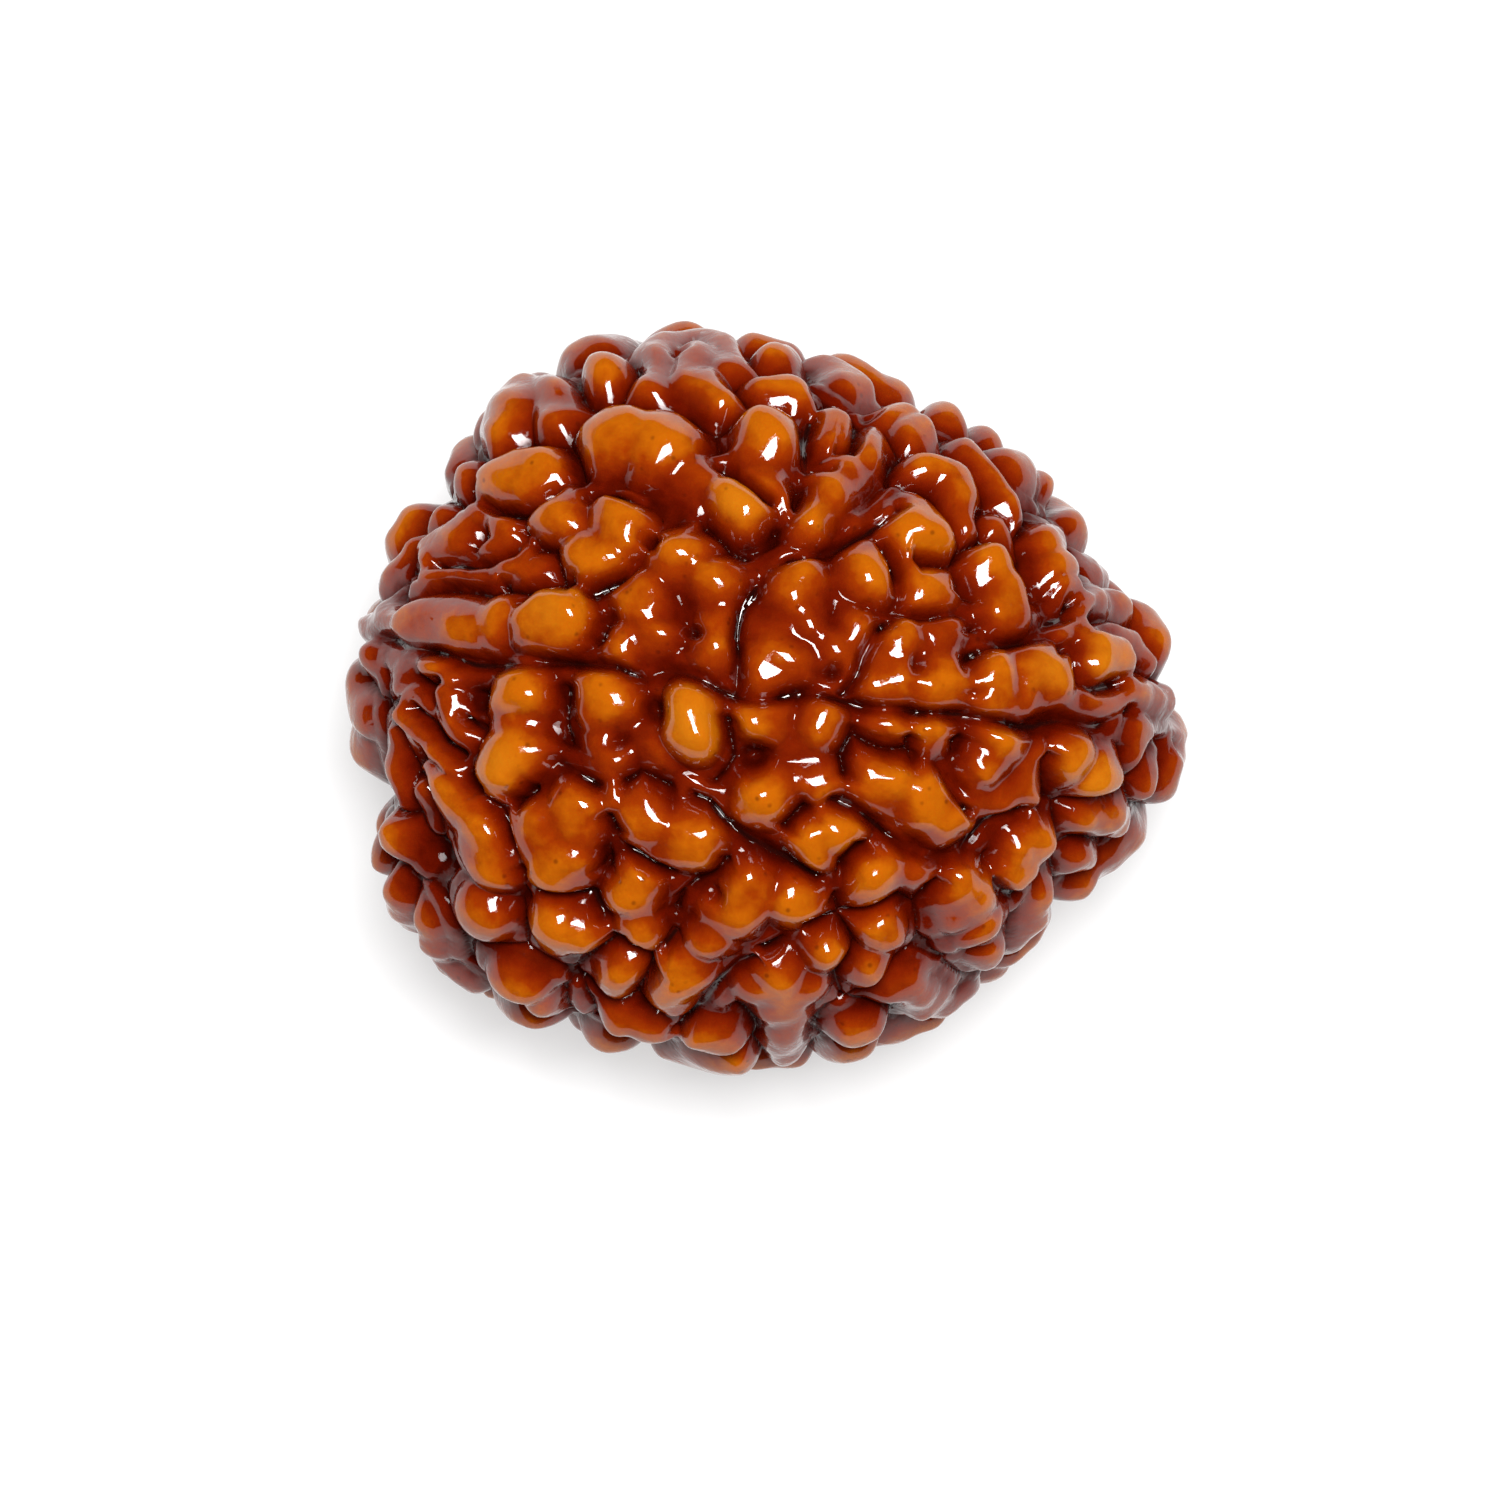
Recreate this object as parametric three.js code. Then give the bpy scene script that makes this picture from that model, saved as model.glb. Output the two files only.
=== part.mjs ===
// A rudraksha seed: one solid stone of wood, covered with knobs, ridges and deep furrows.
// Millimetres. +Z is up, +X runs from the stem pole to the tip along the seed's long axis,
// and the seed rests on a small flat spot at z = 0, under its middle.
import * as THREE from "three";

const SEED_COLOUR = 0x8a3a0c;
const ROUGHNESS = 0.3;

// Plain body under the relief.
// The whole seed measures about 22 from pole to pole, 20 across and 15.5 thick.
// Radius of the outline seen from above, every 15 degrees from +X towards +Y.
const OUTLINE = [
  11.3, 10.2, 9.4, 9.2, 9.1, 8.5, 9.2, 9.7, 10.3, 10.7, 10.4, 10.4,
  11.3, 10.4, 11.1, 11.3, 10.3, 9.6, 9.5, 9.5, 9.3, 9.5, 9.2, 9.8,
];
const OUTLINE_STEP = 15;
const SINK = 0.93; // the body lies this far inside the outline
const HALF_HEIGHT = 6.7;
const REST_DEPTH = 7.55; // the rest spot, under the body's middle
const REST_PLACE = [-0.3, -0.1];
const REST_WIDTH = 1.5;
const REST_CROWN = 0.75;
const MIDDLE = [0.0, 0.05]; // the body's middle from the frame's Z axis

// Relief: lumps with steep walls, furrows between them, small domes on each lump.
const PLATEAU = 0.5; // height of a lump without its domes
const WALL = 0.6; // width of a lump's rounded wall
const REACH = 0.75; // a lump reaches this far past its knobs
const CROWN_REACH = 0.35;
const DOME_POWER = 0.75;
const CROWN_LEAST = 0.3;
const CROWN_PER_WIDTH = 0.75;
const BLEND = 0.16; // rounding where two domes meet
const FURROW_FLOOR = 0.28; // floor of a plain furrow
const FLOOR_SPREAD = 0.8; // the floor sinks to nothing this near a deep furrow
const LINE_NEAR = 0.25; // a deep furrow replaces a plain one nearer than this
const LINE_FADE = 0.45;
const LINE_STEEP = 1.7; // a deep furrow's walls rise this much faster

// Waves that make the lumps uneven: they shift the furrows and swell the tops.
const WAVE_SEED = 5;
const WAVE_COUNT = 10;
const WARP_LENGTH = 1.7;
const WARP = 0.06;
const SWELL_LENGTH = 0.8;
const SWELL = 0.035;

// The places of the seen side are given in a view from nearly above: u to the right, v up.
const VIEW_TURN = 7; // degrees about Z
const VIEW_HEIGHT = 82; // degrees above the ground
const RELIEF_RISE = 0.8; // mean height of the relief, where the places are read
const BODY_MEAN = 9.5;
const SIGHT_REACH = 12; // a line of sight is followed this far before and past the middle
const SIGHT_STEP = 0.05;

// Lumps of the hidden side, placed by a seeded draw.
const HIDDEN_SEED = 11;
const HIDDEN_TRIES = 5200;
const HIDDEN_LEAST_WIDTH = 0.5;
const HIDDEN_WIDTH_SPREAD = 0.5;
const HIDDEN_LENGTH = 2.2;
const HIDDEN_TURN = 70; // degrees, spread of a ridge's course about the pole axis
const HIDDEN_FACING = -0.03; // how far round the hidden side begins
const HIDDEN_SPACING = 0.9;
const JOIN_SHARE = 0.45;
const JOIN_GAP = 2.4;

// Cells along each edge of the cube that the grid is spread from: 12 CELLS^2 triangles.
const CELLS = 31;
const FAR = 9; // further than any lump or furrow that matters

// Lumps of the seen side. Each lump is a list of knobs and ridges, and each of those is
// [half width, share of the usual crown, u, v, u, v, ...], with one place for a knob.
const LUMPS = [
  // upper left
  [[0.75, 1.0, -7.0, 7.1, -6.7, 7.9], [0.5, 0.9, -7.5, 7.4], [0.45, 0.95, -5.9, 8.3, -5.6, 7.5],
   [0.5, 0.85, -6.3, 8.5]],
  [[0.85, 1.0, -6.8, 5.9, -6.2, 5.9]],
  [[0.5, 0.8, -8.1, 5.8]],
  [[0.42, 0.7, -8.7, 4.9]],
  [[0.5, 0.8, -9.0, 3.95, -7.9, 4.7]],
  [[0.5, 0.9, -7.2, 4.4]],
  [[0.35, 0.8, -10.3, 3.0, -9.5, 4.1]],
  [[0.22, 0.7, -9.6, 3.0, -8.4, 3.15, -7.3, 3.2]],
  [[0.42, 0.8, -6.8, 3.5, -6.0, 3.5]],
  [[0.72, 1.0, -5.5, 4.75], [0.7, 1.0, -5.0, 3.75, -4.7, 3.7], [0.75, 1.0, -3.9, 4.7]],
  // top
  [[0.7, 1.0, -4.3, 8.6]],
  [[0.42, 0.9, -3.3, 8.2, -3.1, 9.3, -2.2, 9.7, -1.4, 9.3, -1.1, 8.7],
   [0.36, 1.1, -2.1, 9.1, -2.2, 8.4], [0.5, 1.0, -1.7, 8.3, -1.2, 7.9]],
  [[0.8, 1.1, -4.2, 6.8, -3.9, 6.85], [0.78, 1.15, -3.1, 6.8, -2.9, 6.6],
   [0.45, 0.95, -2.3, 6.1, -2.0, 5.8], [0.45, 0.9, -1.6, 5.5], [0.55, 1.15, -1.1, 5.05, -0.8, 4.9]],
  [[0.75, 1.1, -0.2, 6.8], [0.5, 0.9, -0.2, 6.3, 0.0, 5.6]],
  [[0.45, 1.0, -0.3, 9.0, 0.3, 9.0], [0.48, 1.0, -0.3, 8.15, 0.3, 8.1]],
  [[0.5, 1.0, 1.35, 8.9, 1.9, 8.3]],
  [[0.5, 1.0, 1.7, 7.2, 1.7, 6.8]],
  [[0.5, 1.0, 0.9, 4.65, 1.6, 5.4, 2.3, 6.3, 2.65, 6.8]],
  // upper right
  [[0.55, 1.0, 3.35, 7.3], [0.5, 1.0, 3.85, 6.9]],
  [[0.62, 1.0, 4.9, 7.4]],
  [[0.5, 0.95, 4.1, 5.95, 4.8, 5.9, 5.15, 5.1, 5.1, 4.6]],
  [[0.78, 1.05, 3.9, 4.4, 4.1, 4.4]],
  [[0.62, 1.0, 4.2, 2.95]],
  [[0.68, 1.05, 5.75, 3.45], [0.55, 1.0, 6.15, 2.7, 6.2, 2.3]],
  [[0.3, 0.9, 5.3, 6.5, 5.8, 5.9, 6.2, 5.2, 6.6, 4.7], [0.7, 0.9, 6.5, 6.0], [0.5, 1.0, 7.1, 5.6]],
  [[0.45, 0.8, 6.0, 4.45]],
  [[0.6, 1.0, 7.3, 4.1], [0.58, 1.05, 7.65, 3.3]],
  [[0.4, 0.7, 8.9, 3.3]],
  [[0.4, 0.8, 8.3, 2.45, 9.4, 2.3]],
  // above the line, left and middle
  [[0.3, 0.8, -10.6, 2.2, -9.5, 2.0], [0.45, 1.0, -9.5, 2.0, -8.5, 2.0, -7.2, 2.2],
   [0.62, 1.1, -7.1, 2.2], [0.7, 1.25, -6.1, 2.15, -5.6, 2.1]],
  [[0.7, 0.9, -2.3, 3.8], [0.5, 0.9, -1.45, 3.1], [0.4, 0.8, -1.35, 2.1], [0.45, 0.85, -1.6, 1.35],
   [0.45, 0.9, -3.9, 1.4], [0.45, 0.85, -3.1, 1.6], [0.55, 0.9, -3.4, 2.6]],
  [[0.7, 0.95, 2.55, 3.2], [0.7, 0.8, 0.7, 2.95], [0.38, 0.8, 1.05, 2.05],
   [0.5, 0.85, 0.0, 1.0, 0.5, 0.85], [0.5, 0.8, 2.35, 1.75], [0.4, 0.65, 0.2, 1.9],
   [0.45, 0.6, 1.6, 1.25], [0.3, 0.6, 1.75, 2.5]],
  [[0.55, 0.95, 2.9, 0.6, 3.4, 0.55], [0.58, 0.95, 4.3, 0.55, 4.8, 0.5], [0.55, 0.9, 3.5, 1.45],
   [0.5, 0.9, 4.6, 1.6]],
  [[0.6, 1.05, 5.8, 0.4, 6.1, 0.45], [0.6, 1.15, 6.9, 0.55, 7.4, 0.6],
   [0.28, 0.9, 7.9, 0.2, 9.5, -0.1, 10.5, 0.1]],
  [[0.6, 1.2, 8.7, 1.0, 9.0, 0.95], [0.25, 0.9, 7.9, 1.5, 8.8, 1.85, 9.7, 1.5, 10.2, 0.8]],
  // below the line, left
  [[0.68, 1.05, -6.6, 0.2], [0.5, 0.9, -6.7, -0.8], [0.75, 1.1, -6.9, -1.75], [0.5, 1.0, -6.5, -1.5]],
  [[0.38, 0.9, -9.0, 0.85]],
  [[0.38, 0.9, -8.6, 0.2, -8.2, -0.7]],
  [[0.3, 0.8, -10.7, 1.2]],
  [[0.3, 0.7, -9.9, 0.5, -9.2, -0.1]],
  [[0.36, 0.8, -9.8, -0.3, -9.3, -1.1, -8.7, -1.5]],
  [[0.28, 0.7, -10.0, -0.9, -9.8, -2.8]],
  [[0.36, 0.8, -9.2, -2.4]],
  [[0.45, 1.0, -9.0, -1.7, -8.5, -2.3, -8.1, -3.0], [0.5, 1.0, -7.8, -3.6, -7.4, -4.4],
   [0.58, 1.05, -7.7, -5.6]],
  [[0.6, 0.95, -9.8, -3.6], [0.55, 0.9, -10.1, -4.3]],
  [[0.65, 1.0, -6.1, -3.3], [0.65, 1.0, -5.1, -3.1], [0.7, 1.0, -5.6, -4.1]],
  [[0.65, 1.0, -4.4, 0.0], [0.65, 1.3, -2.1, -0.4, -2.1, -0.8], [0.5, 0.6, -4.5, -1.1, -4.1, -1.8],
   [0.5, 0.6, -3.0, -1.6]],
  // below the line, right
  [[0.6, 0.9, -0.1, -0.45], [0.5, 1.0, 1.4, -0.7], [0.75, 0.9, 0.0, -2.6], [0.5, 0.85, 1.2, -2.1],
   [0.4, 0.6, 0.9, -1.3]],
  [[0.42, 0.9, 3.2, -0.75]],
  [[0.48, 0.9, 4.35, -0.75]],
  [[0.6, 0.95, 2.7, -2.0, 3.2, -2.15], [0.65, 1.1, 4.0, -2.45, 4.6, -2.9]],
  [[0.6, 1.05, 6.2, -0.9], [0.55, 1.0, 5.8, -1.6],
   [0.38, 0.9, 6.9, -1.4, 6.9, -2.1, 6.2, -2.5, 5.6, -2.4]],
  [[0.55, 1.15, 8.0, -1.4], [0.6, 1.25, 8.7, -1.75]],
  [[0.36, 0.8, 9.9, -1.2]],
  [[0.36, 0.8, 10.1, -2.0]],
  [[0.5, 0.9, 8.5, -2.8, 9.3, -2.9]],
  [[0.5, 0.8, 8.4, -3.9]],
  [[0.6, 1.05, 7.1, -3.5], [0.65, 1.05, 6.5, -4.1]],
  [[0.65, 1.1, 5.0, -4.9, 5.2, -5.2], [0.55, 1.0, 5.6, -5.8], [0.4, 0.9, 5.7, -6.6]],
  // lower
  [[0.55, 1.0, -3.7, -2.85, -3.3, -3.3], [0.6, 1.0, -2.5, -3.7, -1.9, -3.75], [0.4, 0.8, -3.1, -3.9]],
  [[0.55, 1.05, 1.15, -3.7], [0.6, 1.05, 1.75, -3.55]],
  [[0.68, 1.0, 2.8, -4.7], [0.45, 0.9, 3.8, -4.6]],
  [[0.65, 1.05, 2.8, -6.0], [0.5, 1.0, 2.5, -6.8]],
  [[0.6, 1.0, -0.6, -5.0, -1.0, -5.5], [0.5, 0.95, -1.5, -6.2], [0.62, 1.0, -2.2, -6.9, -2.7, -7.5],
   [0.55, 1.0, 0.7, -5.3]],
  [[0.62, 1.1, -3.7, -5.0], [0.55, 1.05, -3.5, -5.9]],
  [[0.62, 0.9, -3.8, -7.2]],
  [[0.6, 0.9, -4.0, -8.2], [0.6, 0.9, -3.2, -8.5]],
  [[0.7, 0.9, -1.5, -8.7]],
  [[0.5, 1.0, 0.1, -7.1], [0.55, 1.0, 1.5, -6.6], [0.42, 0.9, -0.3, -7.6, 0.9, -7.5],
   [0.45, 0.9, 0.3, -7.8, 0.3, -9.3]],
  [[0.42, 0.8, 7.2, -5.0, 6.7, -6.3]],
  [[0.42, 0.8, 3.4, -7.5, 4.5, -8.0, 5.3, -8.0]],
  [[0.65, 0.9, 2.3, -8.5]],
  [[0.7, 1.05, -5.7, -5.9], [0.55, 1.0, -5.0, -6.1]],
  [[0.65, 1.0, -6.8, -7.3], [0.5, 1.0, -6.2, -7.8]],
  [[0.42, 0.9, -9.2, -5.8, -9.0, -6.6, -8.0, -7.4]],
  [[0.28, 0.7, -5.25, -8.0]],
];

// The furrow line of the seen side, from the stem pole to the tip.
const MOUTH = [
  -10.9, 1.6, -10.0, 1.5, -9.0, 1.25, -8.0, 1.05, -7.0, 1.02, -5.8, 0.95, -4.9, 0.9, -4.2, 0.85, -3.4,
  0.45, -2.9, 0.58, -1.9, 0.45, -1.0, 0.25, 0.0, 0.1, 1.0, -0.02, 2.0, -0.1, 3.0, -0.25, 4.0, -0.35,
  5.2, -0.3, 6.3, -0.35, 7.2, -0.65, 8.3, -0.58, 9.5, -0.5, 10.9, -0.45,
];

// Narrow deep furrows between the lumps: places of each furrow's path, u and v.
const LINES = [
  MOUTH,
  [-9, 3.5, -8, 3.45, -7.2, 3.7, -6.8, 3.9],
  [-7.4, 5.1, -7.1, 4.9, -6.3, 5.0, -5.6, 5.4],
  [-4.6, 5.4, -4, 5.5, -3.1, 5.2, -2.6, 4.9],
  [-4.7, 2.7, -4.1, 3.1, -3.6, 3.6],
  [-1.3, 6.2, -0.9, 5.8, -0.2, 5.2],
  [0.9, 7.5, 0.85, 6.8, 1.0, 6.2, 1.5, 6.0],
  [-0.85, 0.3, -0.8, 1.8, -0.7, 2.4, -0.4, 3.0, 0, 3.4, 0.5, 3.65, 1.2, 3.8, 2.0, 4.1, 2.7, 4.4, 3.35,
   5.05],
  [3.1, 3.9, 3.3, 3.5, 3.3, 2.1, 2.9, 1.6, 2.4, 1.1, 1.9, 0.1],
  [3.4, 2.3, 4.3, 2.15, 5.0, 2.2],
  [5.1, 0.85, 5.8, 1.15, 6.7, 1.45, 7.6, 1.95, 8.0, 2.1, 8.05, 2.5],
  [8.1, 0.65, 8.6, 0.3, 9.3, 0.2],
  [-9.5, -0.2, -9.0, -0.7, -8.7, -1.1, -8.2, -1.4],
  [-8.0, -0.3, -7.6, -0.7],
  [-5.8, -1.8, -4.6, -2.45],
  [-7.3, -3.0, -6.9, -3.75],
  [-2.0, -2.6, -1.6, -2.7, -1.2, -3.2, -0.5, -3.8, 0.1, -4.2, 1.2, -4.6],
  [1.7, -2.6, 2.2, -2.85, 3.1, -3.5, 4.2, -4.1, 5.0, -4.1, 5.5, -3.4, 5.8, -3.1, 6.8, -2.85],
  [4.5, -1.6, 5.2, -2.7],
  [5.8, -4.6, 6.5, -5.1],
  [-3.8, -4.1, -3.2, -4.4, -2.7, -4.55],
  [-2.8, -6.4, -2.5, -6.1],
  [-6, -4.9, -4.8, -5.05, -4.5, -5.7],
  [-0.2, -6.5, 0.3, -6.3],
  [-0.4, -6.8, -1.5, -7.7, -2.4, -8.6],
];

// Small pits: u, v, radius, depth.
const PITS = [
  [-2.5, 9.1, 0.25, 0.5], [2.7, 7.5, 0.25, 0.4], [-6.6, 2.55, 0.2, 0.5], [-2.1, 1.75, 0.22, 0.5],
  [1.6, 0.75, 0.2, 0.4], [-3.3, -0.3, 0.25, 0.5], [-4.0, -1.2, 0.22, 0.3], [-0.3, -1.6, 0.4, 0.5],
  [-7.6, 0.2, 0.35, 0.4], [-1.5, -5.1, 0.2, 0.5], [-5.0, -7.4, 0.25, 0.4], [3.9, 0.9, 0.18, 0.3],
  [-8.9, -4.0, 0.4, 0.5],
];

// The furrow line of the hidden side: x and y of its path, from pole to pole.
const HIDDEN_MOUTH = [
  -11.4, 0.2, -9.6, 0.45, -7.4, 0.2, -5.0, 0.55, -2.6, 0.3, -0.4, 0.6, 2.0, 0.25, 4.4, 0.4,
  6.8, 0.05, 9.0, 0.3, 11.4, 0.1,
];

const radians = THREE.MathUtils.degToRad;
const turn = radians(VIEW_TURN);
const height = radians(VIEW_HEIGHT);
const RIGHT = new THREE.Vector3(Math.cos(turn), Math.sin(turn), 0);
const BACK = new THREE.Vector3(
  Math.sin(turn) * Math.cos(height),
  -Math.cos(turn) * Math.cos(height),
  Math.sin(height),
);
const UP = new THREE.Vector3().crossVectors(BACK, RIGHT);

// Radius of the body's widest section towards an angle: a cubic B-spline through the outline.
function outlineRadius(x, y) {
  const count = OUTLINE.length;
  const place = ((THREE.MathUtils.radToDeg(Math.atan2(y, x)) + 360) % 360) / OUTLINE_STEP;
  const whole = Math.floor(place);
  const t = place - whole;
  const at = (k) => OUTLINE[(whole + k + count) % count];
  const sum =
    (1 - t) ** 3 * at(-1) +
    (3 * t ** 3 - 6 * t ** 2 + 4) * at(0) +
    (-3 * t ** 3 + 3 * t ** 2 + 3 * t + 1) * at(1) +
    t ** 3 * at(2);
  return sum / 6 - SINK;
}

// Squared size of a point against the body: 1 on its surface.
function bodySize(p) {
  const r = outlineRadius(p.x, p.y);
  return (p.x / r) ** 2 + (p.y / r) ** 2 + (p.z / HALF_HEIGHT) ** 2;
}

function bodyPoint(n) {
  const r = outlineRadius(n.x, n.y);
  return new THREE.Vector3(n.x * r, n.y * r, n.z * HALF_HEIGHT);
}

const toBody = (p) => p.clone().divideScalar(Math.sqrt(bodySize(p)));

// Outward normal of the body, from small steps along each axis.
function bodyNormal(p) {
  const step = 0.02;
  const slope = ["x", "y", "z"].map((axis) => {
    const before = p.clone();
    const after = p.clone();
    before[axis] -= step;
    after[axis] += step;
    return bodySize(after) - bodySize(before);
  });
  return new THREE.Vector3(...slope).normalize();
}

// The body point under a place of the view; a place off the body goes to its nearest rim.
function seen(u, v) {
  const start = RIGHT.clone().multiplyScalar(u).addScaledVector(UP, v);
  const grown = 1 + RELIEF_RISE / BODY_MEAN;
  let best = null;
  let least = Infinity;
  for (let depth = SIGHT_REACH; depth >= -SIGHT_REACH; depth -= SIGHT_STEP) {
    const p = start.clone().addScaledVector(BACK, depth);
    const size = bodySize(p.clone().divideScalar(grown));
    if (size < least) {
      least = size;
      best = p;
    }
    if (size < 1) break;
  }
  return toBody(best);
}

// The body point straight above a place of the underside.
function under(x, y) {
  const r = outlineRadius(x, y);
  const share = Math.max(1 - (x * x + y * y) / (r * r), 0);
  return toBody(new THREE.Vector3(x, y, -HALF_HEIGHT * Math.sqrt(share)));
}

function path(numbers, drop) {
  const points = [];
  for (let i = 0; i < numbers.length; i += 2) points.push(drop(numbers[i], numbers[i + 1]));
  return points;
}

const crown = (width, share) => (CROWN_LEAST + CROWN_PER_WIDTH * width) * share;

// A knob or ridge as straight bars between its points.
function bars(width, share, points) {
  const rise = crown(width, share);
  if (points.length === 1) return [{ a: points[0], b: points[0], width, rise }];
  return points.slice(1).map((b, i) => ({ a: points[i], b, width, rise }));
}

function seenLumps() {
  const rowBars = ([width, share, ...places]) => bars(width, share, path(places, seen));
  return LUMPS.map((lump) => lump.flatMap(rowBars));
}

// A seeded draw of numbers from 0 to 1.
function drawer(seed) {
  let state = seed;
  return () => {
    state = (Math.imul(state, 1664525) + 1013904223) >>> 0;
    return state / 4294967296;
  };
}

// A unit vector, even over the sphere.
function drawnDirection(draw) {
  const z = 1 - 2 * draw();
  const angle = 2 * Math.PI * draw();
  const flat = Math.sqrt(1 - z * z);
  return new THREE.Vector3(flat * Math.cos(angle), flat * Math.sin(angle), z);
}

function drawnWaves(draw, length, size) {
  return Array.from({ length: WAVE_COUNT }, () => {
    const course = drawnDirection(draw).multiplyScalar((2 * Math.PI) / (length * (1 + draw())));
    const phase = 2 * Math.PI * draw();
    return { course, phase, push: drawnDirection(draw).multiplyScalar(size) };
  });
}

// The sum of the waves' pushes at a point.
function waved(p, waves) {
  const total = new THREE.Vector3();
  for (const wave of waves) total.addScaledVector(wave.push, Math.sin(p.dot(wave.course) + wave.phase));
  return total;
}

// Adds lumps on the side that the view doesn't reach: knobs and short ridges that keep clear
// of each other, with some joined to a neighbour as one lump.
function addHiddenLumps(lumps) {
  const draw = drawer(HIDDEN_SEED);
  const taken = [];
  const note = (bar, lump) => {
    const middle = bar.a.clone().add(bar.b).divideScalar(2);
    for (const p of [bar.a, middle, bar.b]) taken.push({ p, width: bar.width, lump });
  };
  lumps.push(bars(REST_WIDTH, REST_CROWN, [under(...REST_PLACE)]));
  lumps.forEach((lump) => lump.forEach((bar) => note(bar, null)));
  const axis = new THREE.Vector3(1, 0, 0);
  for (let i = 0; i < HIDDEN_TRIES; i++) {
    const p = bodyPoint(drawnDirection(draw));
    const width = HIDDEN_LEAST_WIDTH + HIDDEN_WIDTH_SPREAD * draw();
    const reach = (HIDDEN_LENGTH * draw()) / 2;
    const course = radians(HIDDEN_TURN * (2 * draw() - 1));
    const joins = draw() < JOIN_SHARE;
    const normal = bodyNormal(p);
    if (normal.dot(BACK) > HIDDEN_FACING) continue;
    const along = axis.clone().addScaledVector(normal, -axis.dot(normal)).normalize();
    along.applyAxisAngle(normal, course);
    const a = toBody(p.clone().addScaledVector(along, reach));
    const b = toBody(p.clone().addScaledVector(along, -reach));
    let nearest = null;
    let gap = Infinity;
    const clear = taken.every((other) => {
      const away = Math.min(p.distanceTo(other.p), a.distanceTo(other.p), b.distanceTo(other.p));
      if (other.lump && away < gap) {
        gap = away;
        nearest = other.lump;
      }
      return away > (width + other.width) * HIDDEN_SPACING;
    });
    if (!clear) continue;
    const bar = { a, b, width, rise: crown(width, 1) };
    const lump = joins && gap < JOIN_GAP ? nearest : [];
    if (!lump.length) lumps.push(lump);
    lump.push(bar);
    note(bar, lump);
  }
  return lumps;
}

const between = new THREE.Vector3();
const offset = new THREE.Vector3();

function barDistance(p, a, b) {
  between.subVectors(b, a);
  offset.subVectors(p, a);
  const length = between.lengthSq();
  const t = length > 1e-9 ? THREE.MathUtils.clamp(offset.dot(between) / length, 0, 1) : 0;
  return offset.addScaledVector(between, -t).length();
}

// The greater of two heights, rounded where they are nearly equal.
function rounded(a, b) {
  const t = THREE.MathUtils.clamp(0.5 + (0.5 * (a - b)) / BLEND, 0, 1);
  return b + (a - b) * t + BLEND * t * (1 - t);
}

const draw = drawer(WAVE_SEED);
const warpWaves = drawnWaves(draw, WARP_LENGTH, WARP);
const swellWaves = drawnWaves(draw, SWELL_LENGTH, SWELL);

// Height of the relief over a body point: a floor, plus the lump's plateau and domes times a
// quarter-circle wall that grows with the distance from the furrow.
function relief(place, lumps, lines, pits) {
  const p = place.clone().add(waved(place, warpWaves));
  const swell = waved(place, swellWaves).z;
  let first = FAR;
  let second = FAR;
  let dome = 0;
  for (const lump of lumps) {
    let nearest = FAR;
    for (const bar of lump) {
      const distance = barDistance(p, bar.a, bar.b);
      nearest = Math.min(nearest, distance - bar.width);
      const share = Math.max(1 - (distance / (bar.width + CROWN_REACH)) ** 2, 0);
      dome = rounded(dome, bar.rise * share ** DOME_POWER);
    }
    if (nearest < first) {
      second = first;
      first = nearest;
    } else if (nearest < second) second = nearest;
  }
  let line = FAR;
  for (const points of lines)
    for (let i = 1; i < points.length; i++) {
      line = Math.min(line, barDistance(p, points[i - 1], points[i]));
    }
  const plain = Math.min((second - first) / 2, REACH - first);
  const far = THREE.MathUtils.smoothstep(line, LINE_NEAR, LINE_NEAR + LINE_FADE);
  const steep = line * LINE_STEEP;
  const edge = THREE.MathUtils.clamp((steep + (plain - steep) * far) / WALL, 0, 1);
  const wall = Math.sqrt(1 - (1 - edge) ** 2);
  const floor = FURROW_FLOOR * (1 - Math.exp(-((line / FLOOR_SPREAD) ** 2)));
  let high = floor + (PLATEAU + dome + swell - floor) * wall;
  for (const pit of pits) high -= pit.depth * Math.exp(-((p.distanceTo(pit.p) / pit.radius) ** 2));
  return high;
}

// A closed grid: a cube's faces in equal angles, pushed out to the unit sphere.
function gridDirections() {
  const keys = new Map();
  const points = [];
  const triangles = [];
  const at = (axis, side, i, j) => {
    const c = [0, 0, 0];
    c[axis] = side;
    c[(axis + 1) % 3] = side * Math.tan(((2 * i) / CELLS - 1) * (Math.PI / 4));
    c[(axis + 2) % 3] = Math.tan(((2 * j) / CELLS - 1) * (Math.PI / 4));
    const n = new THREE.Vector3(...c).normalize();
    const key = [n.x, n.y, n.z].map((x) => Math.round(x * 1e6)).join();
    if (!keys.has(key)) {
      keys.set(key, points.length);
      points.push(n);
    }
    return keys.get(key);
  };
  for (let axis = 0; axis < 3; axis++)
    for (const side of [1, -1])
      for (let i = 0; i < CELLS; i++)
        for (let j = 0; j < CELLS; j++) {
          const corners = [at(axis, side, i, j), at(axis, side, i + 1, j), at(axis, side, i + 1, j + 1)];
          corners.push(at(axis, side, i, j + 1));
          const [a, b, c, d] = corners;
          triangles.push(a, b, c, a, c, d);
        }
  return { points, triangles };
}

const lumps = addHiddenLumps(seenLumps());
const lines = [...LINES.map((numbers) => path(numbers, seen)), path(HIDDEN_MOUTH, under)];
const pits = PITS.map(([u, v, radius, depth]) => ({ p: seen(u, v), radius, depth }));

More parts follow.
